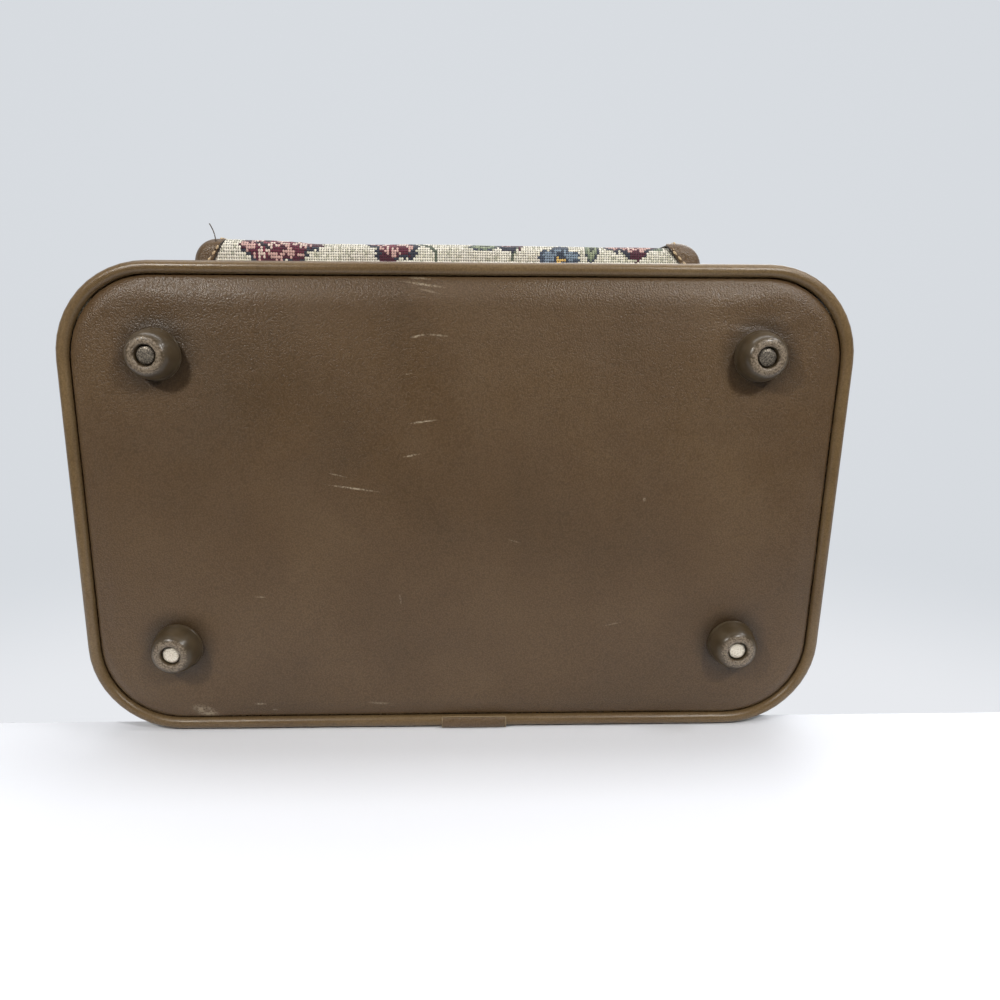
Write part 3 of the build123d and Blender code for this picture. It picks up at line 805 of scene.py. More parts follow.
# %% The join sleeve
SLEEVE_SWELL = 0.8 * MM
SLEEVE_STEPS = 8
sleeve_low, sleeve_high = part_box("piping_join_patch")
sleeve_y = BACK_FACE + PIPING_OUT - PIPING_RADIUS
sleeve_length = sleeve_high.x - sleeve_low.x
sleeve_radius = PIPING_RADIUS + 0.05 * MM
bpy.ops.object.select_all(action="DESELECT")
bpy.ops.mesh.primitive_circle_add(
    vertices=40, radius=sleeve_radius, location=(sleeve_low.x, sleeve_y, PIPING_Z),
    rotation=(0, math.radians(90), 0))
sleeve = bpy.context.object
fix_place()
edit_all(sleeve, "EDGE")
for step in range(SLEEVE_STEPS):
    bpy.ops.mesh.extrude_region_move(
        TRANSFORM_OT_translate={"value": (sleeve_length / SLEEVE_STEPS, 0, 0)})
pick(sleeve, "FACE", lambda at, way: at.z > PIPING_Z + 1.3 * MM or at.y < sleeve_y - 1.9 * MM)
bpy.ops.mesh.delete(type="FACE")
bpy.ops.mesh.select_all(action="SELECT")
bpy.ops.mesh.normals_make_consistent(inside=False)
leave()
for spot in sleeve.data.vertices:
    away = Vector((0, spot.co.y - sleeve_y, spot.co.z - PIPING_Z)).normalized()
    along = (spot.co.x - sleeve_low.x) / sleeve_length
    spot.co += away * (0.12 * MM * math.sin(math.pi * along))
    spot.co.x += 0.25 * MM * math.sin(spot.co.z / (1.1 * MM))
modify(sleeve, "SOLIDIFY", thickness=SLEEVE_SWELL, offset=1.0)
modify(sleeve, "BEVEL", width=0.12 * MM, segments=2, limit_method="ANGLE")
sleeve_finish = vinyl("join_sleeve_leathercloth", "57432B", "624D34", "6C563B", rough=0.36)[0]
deliver(sleeve, "join_sleeve", sleeve_finish, "case_body", ["piping_join_patch"])

# %% [markdown]
# Cloth needs its own coordinates. A weave follows the cloth round a corner, so each sheet of cloth
# gets a UV map in real metres: along the sheet and across it. `round_the_case` measures the way round
# the outline from the middle of the back, and `lay` writes the map, face by face, so that the one
# seam where the measure starts again has no smear. `place_round` is the same measure backwards: it
# turns a distance into a place, for stitches and teeth.

# %% The way round the case
HALF_RUN = FACE_WIDTH / 2 - FACE_CORNER
HALF_SIDE = FACE_DEPTH / 2 - FACE_CORNER
ARC = FACE_CORNER * math.pi / 2
AROUND = 4 * HALF_RUN + 4 * HALF_SIDE + 4 * ARC


def round_the_case(place):
    """The distance round the tapestry face, clockwise from above, from the middle of the back."""
    x = place.x - LEAN * (place.y - MIDDLE_Y)
    y = place.y - MIDDLE_Y
    if abs(x) <= HALF_RUN:
        return x % AROUND if y > 0 else HALF_RUN + 2 * ARC + 2 * HALF_SIDE + HALF_RUN - x
    if x > 0 and y > HALF_SIDE:
        return HALF_RUN + FACE_CORNER * math.atan2(x - HALF_RUN, y - HALF_SIDE)
    if x > 0 and y >= -HALF_SIDE:
        return HALF_RUN + ARC + HALF_SIDE - y
    if x > 0:
        turned_by = math.atan2(-y - HALF_SIDE, x - HALF_RUN)
        return HALF_RUN + ARC + 2 * HALF_SIDE + FACE_CORNER * turned_by
    done = 3 * HALF_RUN + 2 * ARC + 2 * HALF_SIDE
    if y < -HALF_SIDE:
        return done + FACE_CORNER * math.atan2(-x - HALF_RUN, -y - HALF_SIDE)
    if y <= HALF_SIDE:
        return done + ARC + HALF_SIDE + y
    return done + ARC + 2 * HALF_SIDE + FACE_CORNER * math.atan2(y - HALF_SIDE, -x - HALF_RUN)


def place_round(along, out, height):
    """The place this far round the case, `out` outside the tapestry face."""
    left = (along + HALF_RUN) % AROUND
    corners = ((-1, 1), (1, 1), (1, -1), (-1, -1), (-1, 1))
    for turn in range(4):
        normal_angle = math.radians(90 - 90 * turn)
        normal = Vector((math.cos(normal_angle), math.sin(normal_angle), 0))
        onward = Vector((normal.y, -normal.x, 0))
        run = 2 * (HALF_SIDE if turn % 2 else HALF_RUN)
        if left <= run:
            way_x, way_y = corners[turn]
            at = Vector((way_x * HALF_RUN, way_y * HALF_SIDE, 0)) + onward * left
            break
        left -= run
        way_x, way_y = corners[turn + 1]
        at = Vector((way_x * HALF_RUN, way_y * HALF_SIDE, 0))
        if left <= ARC:
            angle = normal_angle - left / FACE_CORNER
            normal = Vector((math.cos(angle), math.sin(angle), 0))
            break
        left -= ARC
    at += normal * (FACE_CORNER + out)
    return Vector((at.x + LEAN * at.y, at.y + MIDDLE_Y, height))


def case_route(start, end, out, height, step=3 * MM):
    count = max(1, round((end - start) / step))
    return [place_round(start + (end - start) * i / count, out, height) for i in range(count + 1)]


def lay(piece, rule, around=None):
    """Writes a UV map in metres: rule(place) gives (along, across)."""
    layer = piece.data.uv_layers.active or piece.data.uv_layers.new(name="cloth")
    layer.name = "cloth"
    for face in piece.data.polygons:
        spots = [rule(piece.data.vertices[i].co) for i in face.vertices]
        furthest = max(along for along, across in spots)
        for loop, (along, across) in zip(face.loop_indices, spots):
            if around and furthest - along > around / 2:
                along += around
            layer.data[loop].uv = (along, across)


print("round the case", round(AROUND, 4), "m")

# %% [markdown]
# Tapestry. The case is covered in jacquard tapestry: thick cream, burgundy, pink, slate and grey-green
# yarns, woven so that each crossing shows as a small block. The dark gap at every corner, and the
# darkening down each yarn's rounded sides, are painted shade. A picture in such cloth is made of those
# blocks. So the coordinates are first snapped to the yarns, and only then asked for flowers and leaves.
# The flowers here are plain five-petalled roses of our own.
# They sit at the cells of a Voronoi pattern: inside a cell, the distance and the angle from its
# middle draw the petals. The yarn pitch is 1.0 mm along and 1.15 mm across.

# %% Tapestry finish
YARN_ALONG = 1.0 * MM
YARN_ACROSS = 1.15 * MM
ROSE_SPACING = 34 * MM
LEAF_SPACING = 19 * MM


def tapestry(name, shift):
    finish, tree, surface, where = new_finish(name)

    def math_node(*values, how):
        return compute(tree, *values, how=how)

    def vector_node(*values, how):
        return add(tree, "VectorMath", dict(enumerate(values)), operation=how).outputs

    cloth = add(tree, "UVMap", uv_map="cloth").outputs["UV"]
    moved = vector_node(cloth, (*shift, 0), how="ADD")["Vector"]
    yarn = (YARN_ALONG, YARN_ACROSS, 1.0)
    block = vector_node(moved, yarn, how="SNAP")["Vector"]
    chance = add(tree, "TexWhiteNoise", {"Vector": block}, noise_dimensions="2D").outputs["Value"]

    cells = add(tree, "TexVoronoi", {"Vector": block, "Scale": 1 / ROSE_SPACING, "Randomness": 0.75},
                voronoi_dimensions="2D")
    kind = add(tree, "SeparateColor", {"Color": cells.outputs["Color"]})
    offset = vector_node(block, cells.outputs["Position"], how="SUBTRACT")["Vector"]
    parts = add(tree, "SeparateXYZ", {"Vector": offset})
    angle = math_node(parts.outputs["Y"], parts.outputs["X"], how="ARCTAN2")
    turned_by = math_node(kind.outputs["Red"], 6.28, angle, how="MULTIPLY_ADD")
    lobes = math_node(math_node(turned_by, 2.5, how="MULTIPLY"), how="SINE")
    petal = math_node(math_node(lobes, how="ABSOLUTE"), 0.3, 0.75, how="MULTIPLY_ADD")
    length = vector_node(offset, how="LENGTH")["Value"]
    size = remap(tree, kind.outputs["Green"], low=7 * MM, high=15 * MM)
    reach = math_node(petal, size, how="MULTIPLY")
    ragged = math_node(chance, 0.16, -0.08, how="MULTIPLY_ADD")
    share = math_node(math_node(length, reach, how="DIVIDE"), ragged, how="ADD")
    swirl = math_node(math_node(turned_by, 3.0, math_node(share, 9.0, how="MULTIPLY"),
                                how="MULTIPLY_ADD"), how="SINE")
    tint_at = math_node(swirl, 0.13, share, how="MULTIPLY_ADD")
    rose = tones(tree, tint_at, (0.0, "2A2430"), (0.14, "7C3346"), (0.28, "D9C2B8"), (0.42, "5E2236"),
                 (0.58, "C9A39C"), (0.74, "4A1C2E"), (0.9, "2E3140"), sharp=True)
    small = tones(tree, tint_at, (0.0, "D8B46A"), (0.2, "3B4454"), (0.45, "7E8FA0"), (0.75, "4A5566"),
                  sharp=True)
    flower = mix(tree, math_node(kind.outputs["Green"], 0.3, how="LESS_THAN"), rose, small)
    in_flower = math_node(share, 1.0, how="LESS_THAN")

    leaves = add(tree, "TexVoronoi", {"Vector": block, "Scale": 1 / LEAF_SPACING, "Randomness": 0.9},
                 voronoi_dimensions="2D")
    leaf_kind = add(tree, "SeparateColor", {"Color": leaves.outputs["Color"]})
    from_leaf = vector_node(block, leaves.outputs["Position"], how="SUBTRACT")["Vector"]
    lean = math_node(leaf_kind.outputs["Red"], 6.28, how="MULTIPLY")
    laid = add(tree, "VectorRotate", {"Vector": from_leaf, "Angle": lean}, rotation_type="Z_AXIS")
    leaf = add(tree, "SeparateXYZ", {"Vector": laid.outputs["Vector"]})
    long_way = math_node(math_node(leaf.outputs["X"], 7.5 * MM, how="DIVIDE"), 2.0, how="POWER")
    leaf_y = math_node(leaf.outputs["Y"], 3.2 * MM, how="DIVIDE")
    wide_way = math_node(math_node(leaf_y, how="ABSOLUTE"), ragged, how="ADD")
    leaf_edge = math_node(long_way, math_node(wide_way, how="ABSOLUTE"), how="ADD")
    in_leaf = math_node(leaf_edge, 1.0, how="LESS_THAN")
    shown = math_node(leaf_kind.outputs["Green"], 0.55, how="GREATER_THAN")
    leaf_mask = math_node(in_leaf, shown, how="MULTIPLY")
    leaf_tone = tones(tree, leaf_edge, (0.0, "39423A"), (0.22, "8E977D"), (0.6, "6F7B6A"),
                      (0.82, "3C4250"), sharp=True)

    vine_wave = add(tree, "TexNoise", {"Vector": block, "Scale": 1 / (38 * MM), "Detail": 1.0},
                    noise_dimensions="2D")
    off_vine = math_node(math_node(vine_wave.outputs["Fac"], 0.5, how="SUBTRACT"), how="ABSOLUTE")
    vine = math_node(off_vine, 0.010, how="LESS_THAN")
    ground = tones(tree, chance, (0.0, "D9D5C6"), (0.45, "EAE6DA"), (0.8, "DAD5C4"), (0.95, "A9A897"))
    with_leaf = mix(tree, leaf_mask, mix(tree, vine, ground, colour("5C6557")), leaf_tone)
    picture = mix(tree, in_flower, with_leaf, flower)
    heather = remap(tree, chance, low=0.86, high=1.1)
    dyed = mix(tree, 1.0, picture, heather, "MULTIPLY")

    crossing = vector_node(moved, yarn, how="DIVIDE")["Vector"]
    inside = add(tree, "SeparateXYZ", {"Vector": vector_node(crossing, how="FRACTION")["Vector"]})
    across_x = math_node(math_node(inside.outputs["X"], math.pi, how="MULTIPLY"), how="SINE")
    across_y = math_node(math_node(inside.outputs["Y"], math.pi, how="MULTIPLY"), how="SINE")
    crown = math_node(across_x, across_y, how="ADD")
    # Painted shade: the colour darkens down each yarn's rounded sides to almost black in the gaps between
    # yarns.
    painted_gap_shade = remap(tree, crown, 0.5, 1.25, 0.06, 1.0)
    feed(tree, surface, {
        "Base Color": mix(tree, 1.0, dyed, painted_gap_shade, "MULTIPLY"),
        "Normal": bumped(tree, crown, 0.8, 0.25 * MM),
        "Roughness": 0.92, "Sheen Weight": 0.25, "Sheen Roughness": 0.5,
    })
    return finish


wall_tapestry = tapestry("woven_jacquard_tapestry", (0.013, 0.021))
pocket_tapestry = tapestry("woven_jacquard_tapestry_pocket", (0.31, 0.17))

# %% [markdown]
# Bands of cloth. The wall of the body, the wall of the lid, the zip's tapes and the rim's bindings are
# all bands: the outline pulled up in rows. `band` makes the bare sheet, and `thicken` gives it its
# thickness inwards once its waves are in, then rounds the cut edges a little.

# %% Bands round the case
def band(name, inset, low, high, rows):
    piece = outline(name, inset, low, filled=False)
    edit_all(piece, "EDGE")
    for row in range(rows):
        bpy.ops.mesh.extrude_region_move(TRANSFORM_OT_translate={"value": (0, 0, (high - low) / rows)})
    bpy.ops.mesh.select_all(action="SELECT")
    bpy.ops.mesh.normals_make_consistent(inside=False)
    leave()
    middle = Vector((0, MIDDLE_Y, 0))
    outwards = sum((face.center - middle).dot(face.normal) for face in piece.data.polygons)
    if outwards < 0:
        flip(piece)
    return piece


def thicken(piece, thickness, round_edge=0.25 * MM):
    modify(piece, "SOLIDIFY", thickness=thickness, offset=-1.0)
    if round_edge:
        modify(piece, "BEVEL", width=round_edge, segments=2, limit_method="ANGLE",
               angle_limit=math.radians(60))


def bulge(piece, size, height, seed, where):
    """Slow unevenness outwards, never inwards, so that nothing behind the sheet is cut."""
    moves = []
    for spot in piece.data.vertices:
        lift = 0.5 + 0.5 * noise.noise(spot.co / size + Vector((seed, seed, seed)))
        moves.append(spot.normal * (height * max(0.0, lift) * where(spot.co)))
    for spot, move in zip(piece.data.vertices, moves):
        spot.co += move


def between(value, start, end):
    """0 before start, 1 after end, and smooth in the middle."""
    share = max(0.0, min(1.0, (value - start) / (end - start)))
    return share * share * (3 - 2 * share)


# %% The body's wall
WALL_THICKNESS = 1.6 * MM
TAPE_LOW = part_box("body_zip_tape")[0].z
body_wall = band("body_wall", 0, wall_low.z, wall_high.z, 44)


def free_wall(place):
    near_tape = between(place.z, TAPE_LOW - 3 * MM, TAPE_LOW - 16 * MM)
    near_welt = between(place.z, wall_low.z, wall_low.z + 8 * MM)
    return near_tape * near_welt


bulge(body_wall, 55 * MM, 1.3 * MM, 3.0, free_wall)
bulge(body_wall, 14 * MM, 0.35 * MM, 9.0, free_wall)
lay(body_wall, lambda spot: (round_the_case(spot), spot.z), AROUND)
thicken(body_wall, WALL_THICKNESS)
deliver(body_wall, "body_wall", wall_tapestry, "case_body", ["body_cover"], angle=80)

# %% The lid's wall
lid_low, lid_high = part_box("lid_side_cover")
LID_TAPE_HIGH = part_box("lid_zip_tape")[1].z
lid_wall = band("lid_wall", 0, lid_low.z, lid_high.z, 20)


def free_lid_wall(place):
    near_tape = between(place.z, LID_TAPE_HIGH + 1 * MM, LID_TAPE_HIGH + 12 * MM)
    return near_tape * between(place.z, lid_high.z, lid_high.z - 8 * MM)


bulge(lid_wall, 50 * MM, 1.2 * MM, 17.0, free_lid_wall)
lay(lid_wall, lambda spot: (round_the_case(spot), spot.z), AROUND)
thicken(lid_wall, WALL_THICKNESS)
deliver(lid_wall, "lid_wall", wall_tapestry, "lid", ["lid_side_cover"], angle=80)

# %% [markdown]
# The lid's top is padded tapestry. It is made like the base panel: rolled at its edge, then swollen
# between its pins. The chapes are sewn down and the handle lies on the lid, so the cloth is pinned
# there, and the wadding rises between them.

# %% The lid's padded top
pad_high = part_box("lid_top_cover")[1]
LID_EDGE_Z = pad_high.z - ROLL_DROP
handle_low, handle_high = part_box("handle_grip")
chape_boxes = [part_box("handle_chape_left"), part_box("handle_chape_right")]


def under_fittings(place, room):
    if handle_low.y - room < place.y < handle_high.y + room:
        if handle_low.x - room < place.x < handle_high.x + room:
            return True
    for low, high in chape_boxes:
        if low.x - room < place.x < high.x + room and low.y - room < place.y < high.y + room:
            return True
    return False


def lid_pins(place):
    return 1.0 if place.z < LID_TOP - PIN_DEPTH or under_fittings(place, 2 * MM) else 0.0


lid_pad = rolled_sheet("lid_pad", LID_EDGE_Z, LID_TOP)
swell(lid_pad, lid_pins, 4.0, 2.2 * MM)
waves(lid_pad, 45 * MM, 0.4 * MM, seed=4.0, where=lambda place: 1.0 - lid_pins(place))
lay(lid_pad, lambda spot: (spot.x, spot.y))
modify(lid_pad, "SUBSURF", levels=1, render_levels=1)
deliver(lid_pad, "lid_pad", wall_tapestry, "lid", ["lid_top_cover"], angle=80)
piping("lid_cord", LID_TOP - 4.0 * MM, cord_finish, "lid", "lid_piping")

# %% [markdown]
# Thread. The case is sewn with a tan spun polyester thread, about 0.6 mm thick, in stitches of 3.4 mm.
# The pocket's ends have a thicker thread and the pull tabs a finer one, both in shorter stitches. One
# stitch is modelled: a ball drawn out into a grain of rice, whose ends sink into the cloth. An Array
# repeats it and a Curve bends the row along its route, which is a curve that is deleted after.

# %% Thread finish and the sewing tool
STITCH = 3.4 * MM
THREAD = 0.62 * MM


def thread_finish(name, code):
    finish, tree, surface, where = new_finish(name)
    twist = noisy(tree, where, 0.35 * MM)
    feed(tree, surface, {
        "Base Color": tones(tree, twist, (0.32, code, 0.62), (0.6, code)),
        "Normal": bumped(tree, twist, 0.6, 0.08 * MM), "Roughness": 0.7, "Sheen Weight": 0.15,
    })
    return finish


tan_thread = thread_finish("spun_polyester_thread_tan", "A98A5E")
pale_thread = thread_finish("spun_polyester_thread_rubbed_tan", "C8B08C")
brown_thread = thread_finish("spun_polyester_thread_brown", "4A3827")
raw_edge = thread_finish("raw_cotton_edge_soiled", "2B2118")
worn_edge = thread_finish("rubbed_leathercloth_edge", "9A8768")


def guide(route):
    """A bare curve through the route, and its length."""
    line = bpy.data.curves.new("guide", "CURVE")
    line.dimensions = "3D"
    line.twist_mode = "Z_UP"
    run = line.splines.new("POLY")
    run.points.add(len(route) - 1)
    for knot, place in zip(run.points, route):
        knot.co = (*place, 1.0)
    holder = bpy.data.objects.new("guide", line)
    bpy.context.scene.collection.objects.link(holder)
    length = sum((Vector(b) - Vector(a)).length for a, b in zip(route, route[1:]))
    return holder, length


def wire(route, radius, sides=1):
    """A round wire of this radius along a route."""
    holder = guide(route)[0]
    holder.data.bevel_depth = radius
    holder.data.bevel_resolution = sides
    take(holder)
    bpy.ops.object.convert(target="MESH")
    return bpy.context.object


def repeat_along(piece, route, pitch):
    """Repeats a piece, drawn at the origin along X, at this pitch along the route."""
    holder, length = guide(route)
    modify(piece, "ARRAY", fit_type="FIXED_COUNT", count=max(1, int(length / pitch)),
           use_relative_offset=False, use_constant_offset=True, constant_offset_displace=(pitch, 0, 0))
    modify(piece, "CURVE", object=holder, deform_axis="POS_X")
    bpy.data.objects.remove(holder)
    return piece


def sew(name, routes, finish, body, pitch=STITCH, thread=THREAD):
    rows = []
    for route in routes:
        bpy.ops.object.select_all(action="DESELECT")
        bpy.ops.mesh.primitive_uv_sphere_add(segments=8, ring_count=5, radius=thread / 2)
        stitch = bpy.context.object
        edit_all(stitch)
        stretch_and_move((0.8 * pitch / thread, 1, 1), (pitch / 2, 0, 0))
        leave()
        rows.append(repeat_along(stitch, route, pitch))
    return deliver(join(rows), name, finish, body, angle=60)


def settle(piece, route, sink=0.12 * MM):
    """Drops a route onto a piece's surface, a little inside it."""
    landed = []
    for place in route:
        found, at, normal, face = piece.closest_point_on_mesh(Vector(place))
        landed.append(at + normal * (THREAD / 2 - sink) if found else Vector(place))
    return landed


def straight(a, b, step=2 * MM):
    a, b = Vector(a), Vector(b)
    count = max(1, round((b - a).length / step))
    return [a.lerp(b, i / count) for i in range(count + 1)]


# %% [markdown]
# The front pocket is one sheet of tapestry: bottom, front and top. It is cut flat, with its weave
# drawn on it, the zip's slot is cut out with four bisections, and then the sheet is folded round the
# pocket's profile. In the photograph it sags a little in the middle and stands out at its left end,
# where a seam holds it.

# %% The pocket's tapestry sheet
POCKET_FOLD = 4.2 * MM
cloth_low, cloth_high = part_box("pocket_face")
slot_low, slot_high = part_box("pocket_zip_teeth")
POCKET_REACH = FRONT_FACE - cloth_low.y
front_run = cloth_high.z - cloth_low.z - 2 * POCKET_FOLD
turn_run = POCKET_FOLD * math.pi / 2
flat_run = POCKET_REACH - POCKET_FOLD
sheet_length = 2 * flat_run + 2 * turn_run + front_run
sheet_width = cloth_high.x - cloth_low.x
slot_left, slot_right = slot_low.x - 1 * MM, slot_high.x + 1 * MM
slot_middle = (slot_low.z + slot_high.z) / 2
slot_across = flat_run + turn_run + slot_middle - cloth_low.z - POCKET_FOLD


def folded(across):
    """Where a point this far along the cut sheet lands on the profile: (y, z), from the wall's foot."""
    if across < flat_run:
        return FRONT_FACE - across, cloth_low.z
    across -= flat_run
    if across < turn_run:
        angle = across / POCKET_FOLD
        return (cloth_low.y + POCKET_FOLD * (1 - math.sin(angle)),
                cloth_low.z + POCKET_FOLD * (1 - math.cos(angle)))
    across -= turn_run
    if across < front_run:
        return cloth_low.y, cloth_low.z + POCKET_FOLD + across
    across -= front_run
    if across < turn_run:
        angle = across / POCKET_FOLD
        return (cloth_low.y + POCKET_FOLD * (1 - math.cos(angle)),
                cloth_high.z - POCKET_FOLD * (1 - math.sin(angle)))
    across -= turn_run
    return cloth_low.y + POCKET_FOLD + across, cloth_high.z


POCKET_LINE = (
    (-102, 1.2), (-93, 1.1), (-87, 0.8), (-79, 0.7), (-72, 0.3), (-58, -0.55), (-4, -0.5), (43, -0.8),
    (90, -1.0), (96, -1.0),
)


def slack(place):
    """How far the tapestry stands out (+) or sags (-), in metres: read off its line in the photograph."""
    out = POCKET_LINE[-1][1]
    for (x0, out0), (x1, out1) in zip(POCKET_LINE, POCKET_LINE[1:]):
        if place.x < x1 * MM:
            out = out0 + (out1 - out0) * between(place.x, x0 * MM, x1 * MM)
            break
    low = between(place.z, slot_middle - 12 * MM, cloth_low.z + 20 * MM)
    wander = noise.noise(Vector((place.x / (17 * MM), place.z / (26 * MM), 2.0)))
    return low * (out + 0.22 * wander) * MM


pocket_cloth = grid_sheet(90, 60, (sheet_width, sheet_length, 1),
                          ((cloth_low.x + cloth_high.x) / 2, sheet_length / 2, 0))
SLOT_HALF = 1.6 * MM
for place, way in (
    ((slot_left, 0, 0), (1, 0, 0)), ((slot_right, 0, 0), (1, 0, 0)),
    ((0, slot_across - SLOT_HALF, 0), (0, 1, 0)), ((0, slot_across + SLOT_HALF, 0), (0, 1, 0)),
):
    bpy.ops.mesh.select_all(action="SELECT")
    bpy.ops.mesh.bisect(plane_co=place, plane_no=way)
pick(pocket_cloth, "FACE", lambda at, way: slot_left < at.x < slot_right
     and abs(at.y - slot_across) < SLOT_HALF)
bpy.ops.mesh.delete(type="FACE")
leave()
lay(pocket_cloth, lambda spot: (spot.x, spot.y))
for spot in pocket_cloth.data.vertices:
    y, z = folded(max(0.0, min(sheet_length, spot.co.y)))
    spot.co = Vector((spot.co.x, y, z))
    out = slack(spot.co)
    front = between(spot.co.y, FRONT_FACE - 2 * MM, cloth_low.y)
    spot.co.y -= out * front
    spot.co.z -= 0.35 * MM * noise.noise(spot.co / (24 * MM)) * (1 - front)
face_way(pocket_cloth, (0, -1, 0))
thicken(pocket_cloth, 1.5 * MM, 0.3 * MM)
deliver(pocket_cloth, "pocket_tapestry", pocket_tapestry, "case_body", ["pocket_face"],
        angle=60)
print("pocket sheet", round(sheet_width, 4), "by", round(sheet_length, 4), "m")

# %% [markdown]
# Soft copies. The pocket's ends, the handle and its chapes are vinyl over wadding, so no edge of them
# is sharp. A copy of the CAD solid is welded, remeshed into small even squares and smoothed. That
# melts its corners and leaves its form.

# %% A soft copy of a CAD piece
def soft_copy(node_name, voxel, rounds, name):
    piece = bpy.data.objects.new(name, nodes[node_name].data.copy())
    bpy.context.scene.collection.objects.link(piece)
    edit_all(piece)
    bpy.ops.mesh.remove_doubles(threshold=0.01 * MM)
    leave()
    modify(piece, "REMESH", mode="VOXEL", voxel_size=voxel)
    modify(piece, "SMOOTH", factor=0.5, iterations=rounds)
    return piece


# %% The pocket's vinyl ends
POCKET_SIDES = (
    # the side, its way along X, the slant of its edge under the pocket, the edge's move along X at
    # the front, and the seam's move towards the middle there
    ("left", -1, 7.0 * MM, 0.0, 0.0), ("right", 1, 6.8 * MM, -3.0 * MM, 2.2 * MM),
)
pocket_ends = []
for side, way, slant, far_in, seam_far_in in POCKET_SIDES:
    node_name = "pocket_end_" + side
    low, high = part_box(node_name)
    edge = high.x if way < 0 else low.x
    end_piece = soft_copy(node_name, 0.55 * MM, 4, node_name)
    for spot in end_piece.data.vertices:
        place = spot.co.copy()
        near_edge = between(abs(place.x - edge), 13 * MM, 1 * MM)
        under = between(place.z, low.z + 6 * MM, low.z + 2 * MM)
        back = max(0.0, min(1.0, (place.y - low.y) / (high.y - low.y)))
        spot.co.x += (way * slant * back + far_in * (1 - back)) * near_edge * under
        lift = noise.noise(place / (16 * MM) + Vector((way * 5, 0, 0)))
        swell_out = 0.45 if way < 0 else 0.1
        front = between(place.y, high.y, low.y + 5 * MM)
        spot.co.y -= (swell_out + 0.3 * lift) * MM * front * between(place.z, high.z, high.z - 30 * MM)
        spot.co.x += way * 0.4 * MM * lift * (1 - near_edge)
    deliver(end_piece, "pocket_gusset_" + side, vinyl_finish, "case_body", [node_name], angle=80)
    pocket_ends.append(end_piece)

# %% The pocket ends' stitches
SEAM_IN = 2.3 * MM
pocket_routes = []
for end_piece, (side, way, slant, far_in, seam_far_in) in zip(pocket_ends, POCKET_SIDES):
    low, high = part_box("pocket_end_" + side)
    edge = (high.x if way < 0 else low.x) + way * SEAM_IN
    foot_at = (edge + way * slant, high.y - 1.0 * MM, low.z)
    corner = (edge + way * 0.6 * MM - seam_far_in, low.y + 3.5 * MM, low.z)
    knee = (edge, low.y, low.z + 4 * MM)
    route = straight(foot_at, corner, 0.8 * MM) + straight(corner, knee, 0.8 * MM)[1:]
    route += straight(knee, (edge, low.y, high.z - 4 * MM), 1.2 * MM)[1:]
    pocket_routes.append(settle(end_piece, route))
sew("pocket_end_stitches", pocket_routes, pale_thread, "case_body", pitch=3.0 * MM,
    thread=0.95 * MM)

# %% [markdown]
# Raw edges. Where each end laps over the tapestry its cut edge shows as a thin dark line: the film's
# cotton back, soiled by use. It is a fine cord laid along the edge.

# %% The pocket ends' raw edges
raw_rows = []
for end_piece, (side, way, slant, far_in, seam_far_in) in zip(pocket_ends, POCKET_SIDES):
    low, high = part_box("pocket_end_" + side)
    edge = high.x if way < 0 else low.x
    along = [(edge + way * slant + 0.1 * MM, high.y - 0.6 * MM, low.z + 0.5 * MM),
             (edge + far_in * 0.8, low.y + 3.0 * MM, low.z + 0.5 * MM),
             (edge + far_in * 0.3, low.y + 0.5 * MM, low.z + 4 * MM),
             (edge, low.y + 0.5 * MM, high.z - 4 * MM)]
    route = []
    for a, b in zip(along, along[1:]):
        route += straight(a, b, 1.5 * MM)[:-1]
    route.append(Vector(along[-1]))
    landed = [end_piece.closest_point_on_mesh(place)[1] for place in route]
    sunk = [place + Vector((-way * 0.1 * MM, 0, 0)) for place in landed]
    raw_rows.append(wire(sunk, 0.38 * MM, 2))
deliver(join(raw_rows), "pocket_raw_edges", raw_edge, "case_body", angle=60)

# %% [markdown]
# Worn edges. The sleeve's two cut ends and its edge beside the panel are rubbed pale. A fine wire
# follows each: an arc round each end, and one straight run between the arcs' first points.

# %% The join sleeve's worn edges
worn_rows = []
worn_radius = sleeve_radius + SLEEVE_SWELL
for end_x in (sleeve_low.x, sleeve_high.x):
    arc = []
    for step in range(13):
        angle = math.radians(-48 + 150 * step / 12)
        arc.append(Vector((end_x, sleeve_y + worn_radius * math.sin(angle),
                           PIPING_Z - worn_radius * math.cos(angle))))
    worn_rows.append(arc)
first = worn_rows[0][0]
worn_rows.append([Vector((x, first.y, first.z)) for x in (sleeve_low.x, sleeve_high.x)])
worn_wires = [wire(row, 0.16 * MM) for row in worn_rows]
deliver(join(worn_wires), "join_sleeve_edges", worn_edge, "case_body", angle=60)

# %% [markdown]
# One thread end has worked loose at the left seam. It is a wire along six points of a slow curve.

# %% A loose thread at the left seam
low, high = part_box("pocket_end_left")
start = Vector((high.x - 4.0 * MM, low.y + 1.0 * MM, low.z + 1.6 * MM))
loose = [start + Vector((-0.12 * step * step, -1.75 * step, 0.25 * math.sin(step))) * MM
         for step in (0, 0.8, 1.6, 2.4, 3.2, 4.0)]
deliver(wire(loose, 0.22 * MM), "pocket_loose_thread", brown_thread, "case_body", angle=60)

# %% [markdown]
# Zip tape. Each tape is woven polyester, with ribs and gaps of about 0.8 mm across it, and is sewn
# down by a row of stitches near its outer edge. To the eye it is a flat dark brown with a fine
# ribbed shade.

# %% Zip tape finish
RIB = 0.8 * MM


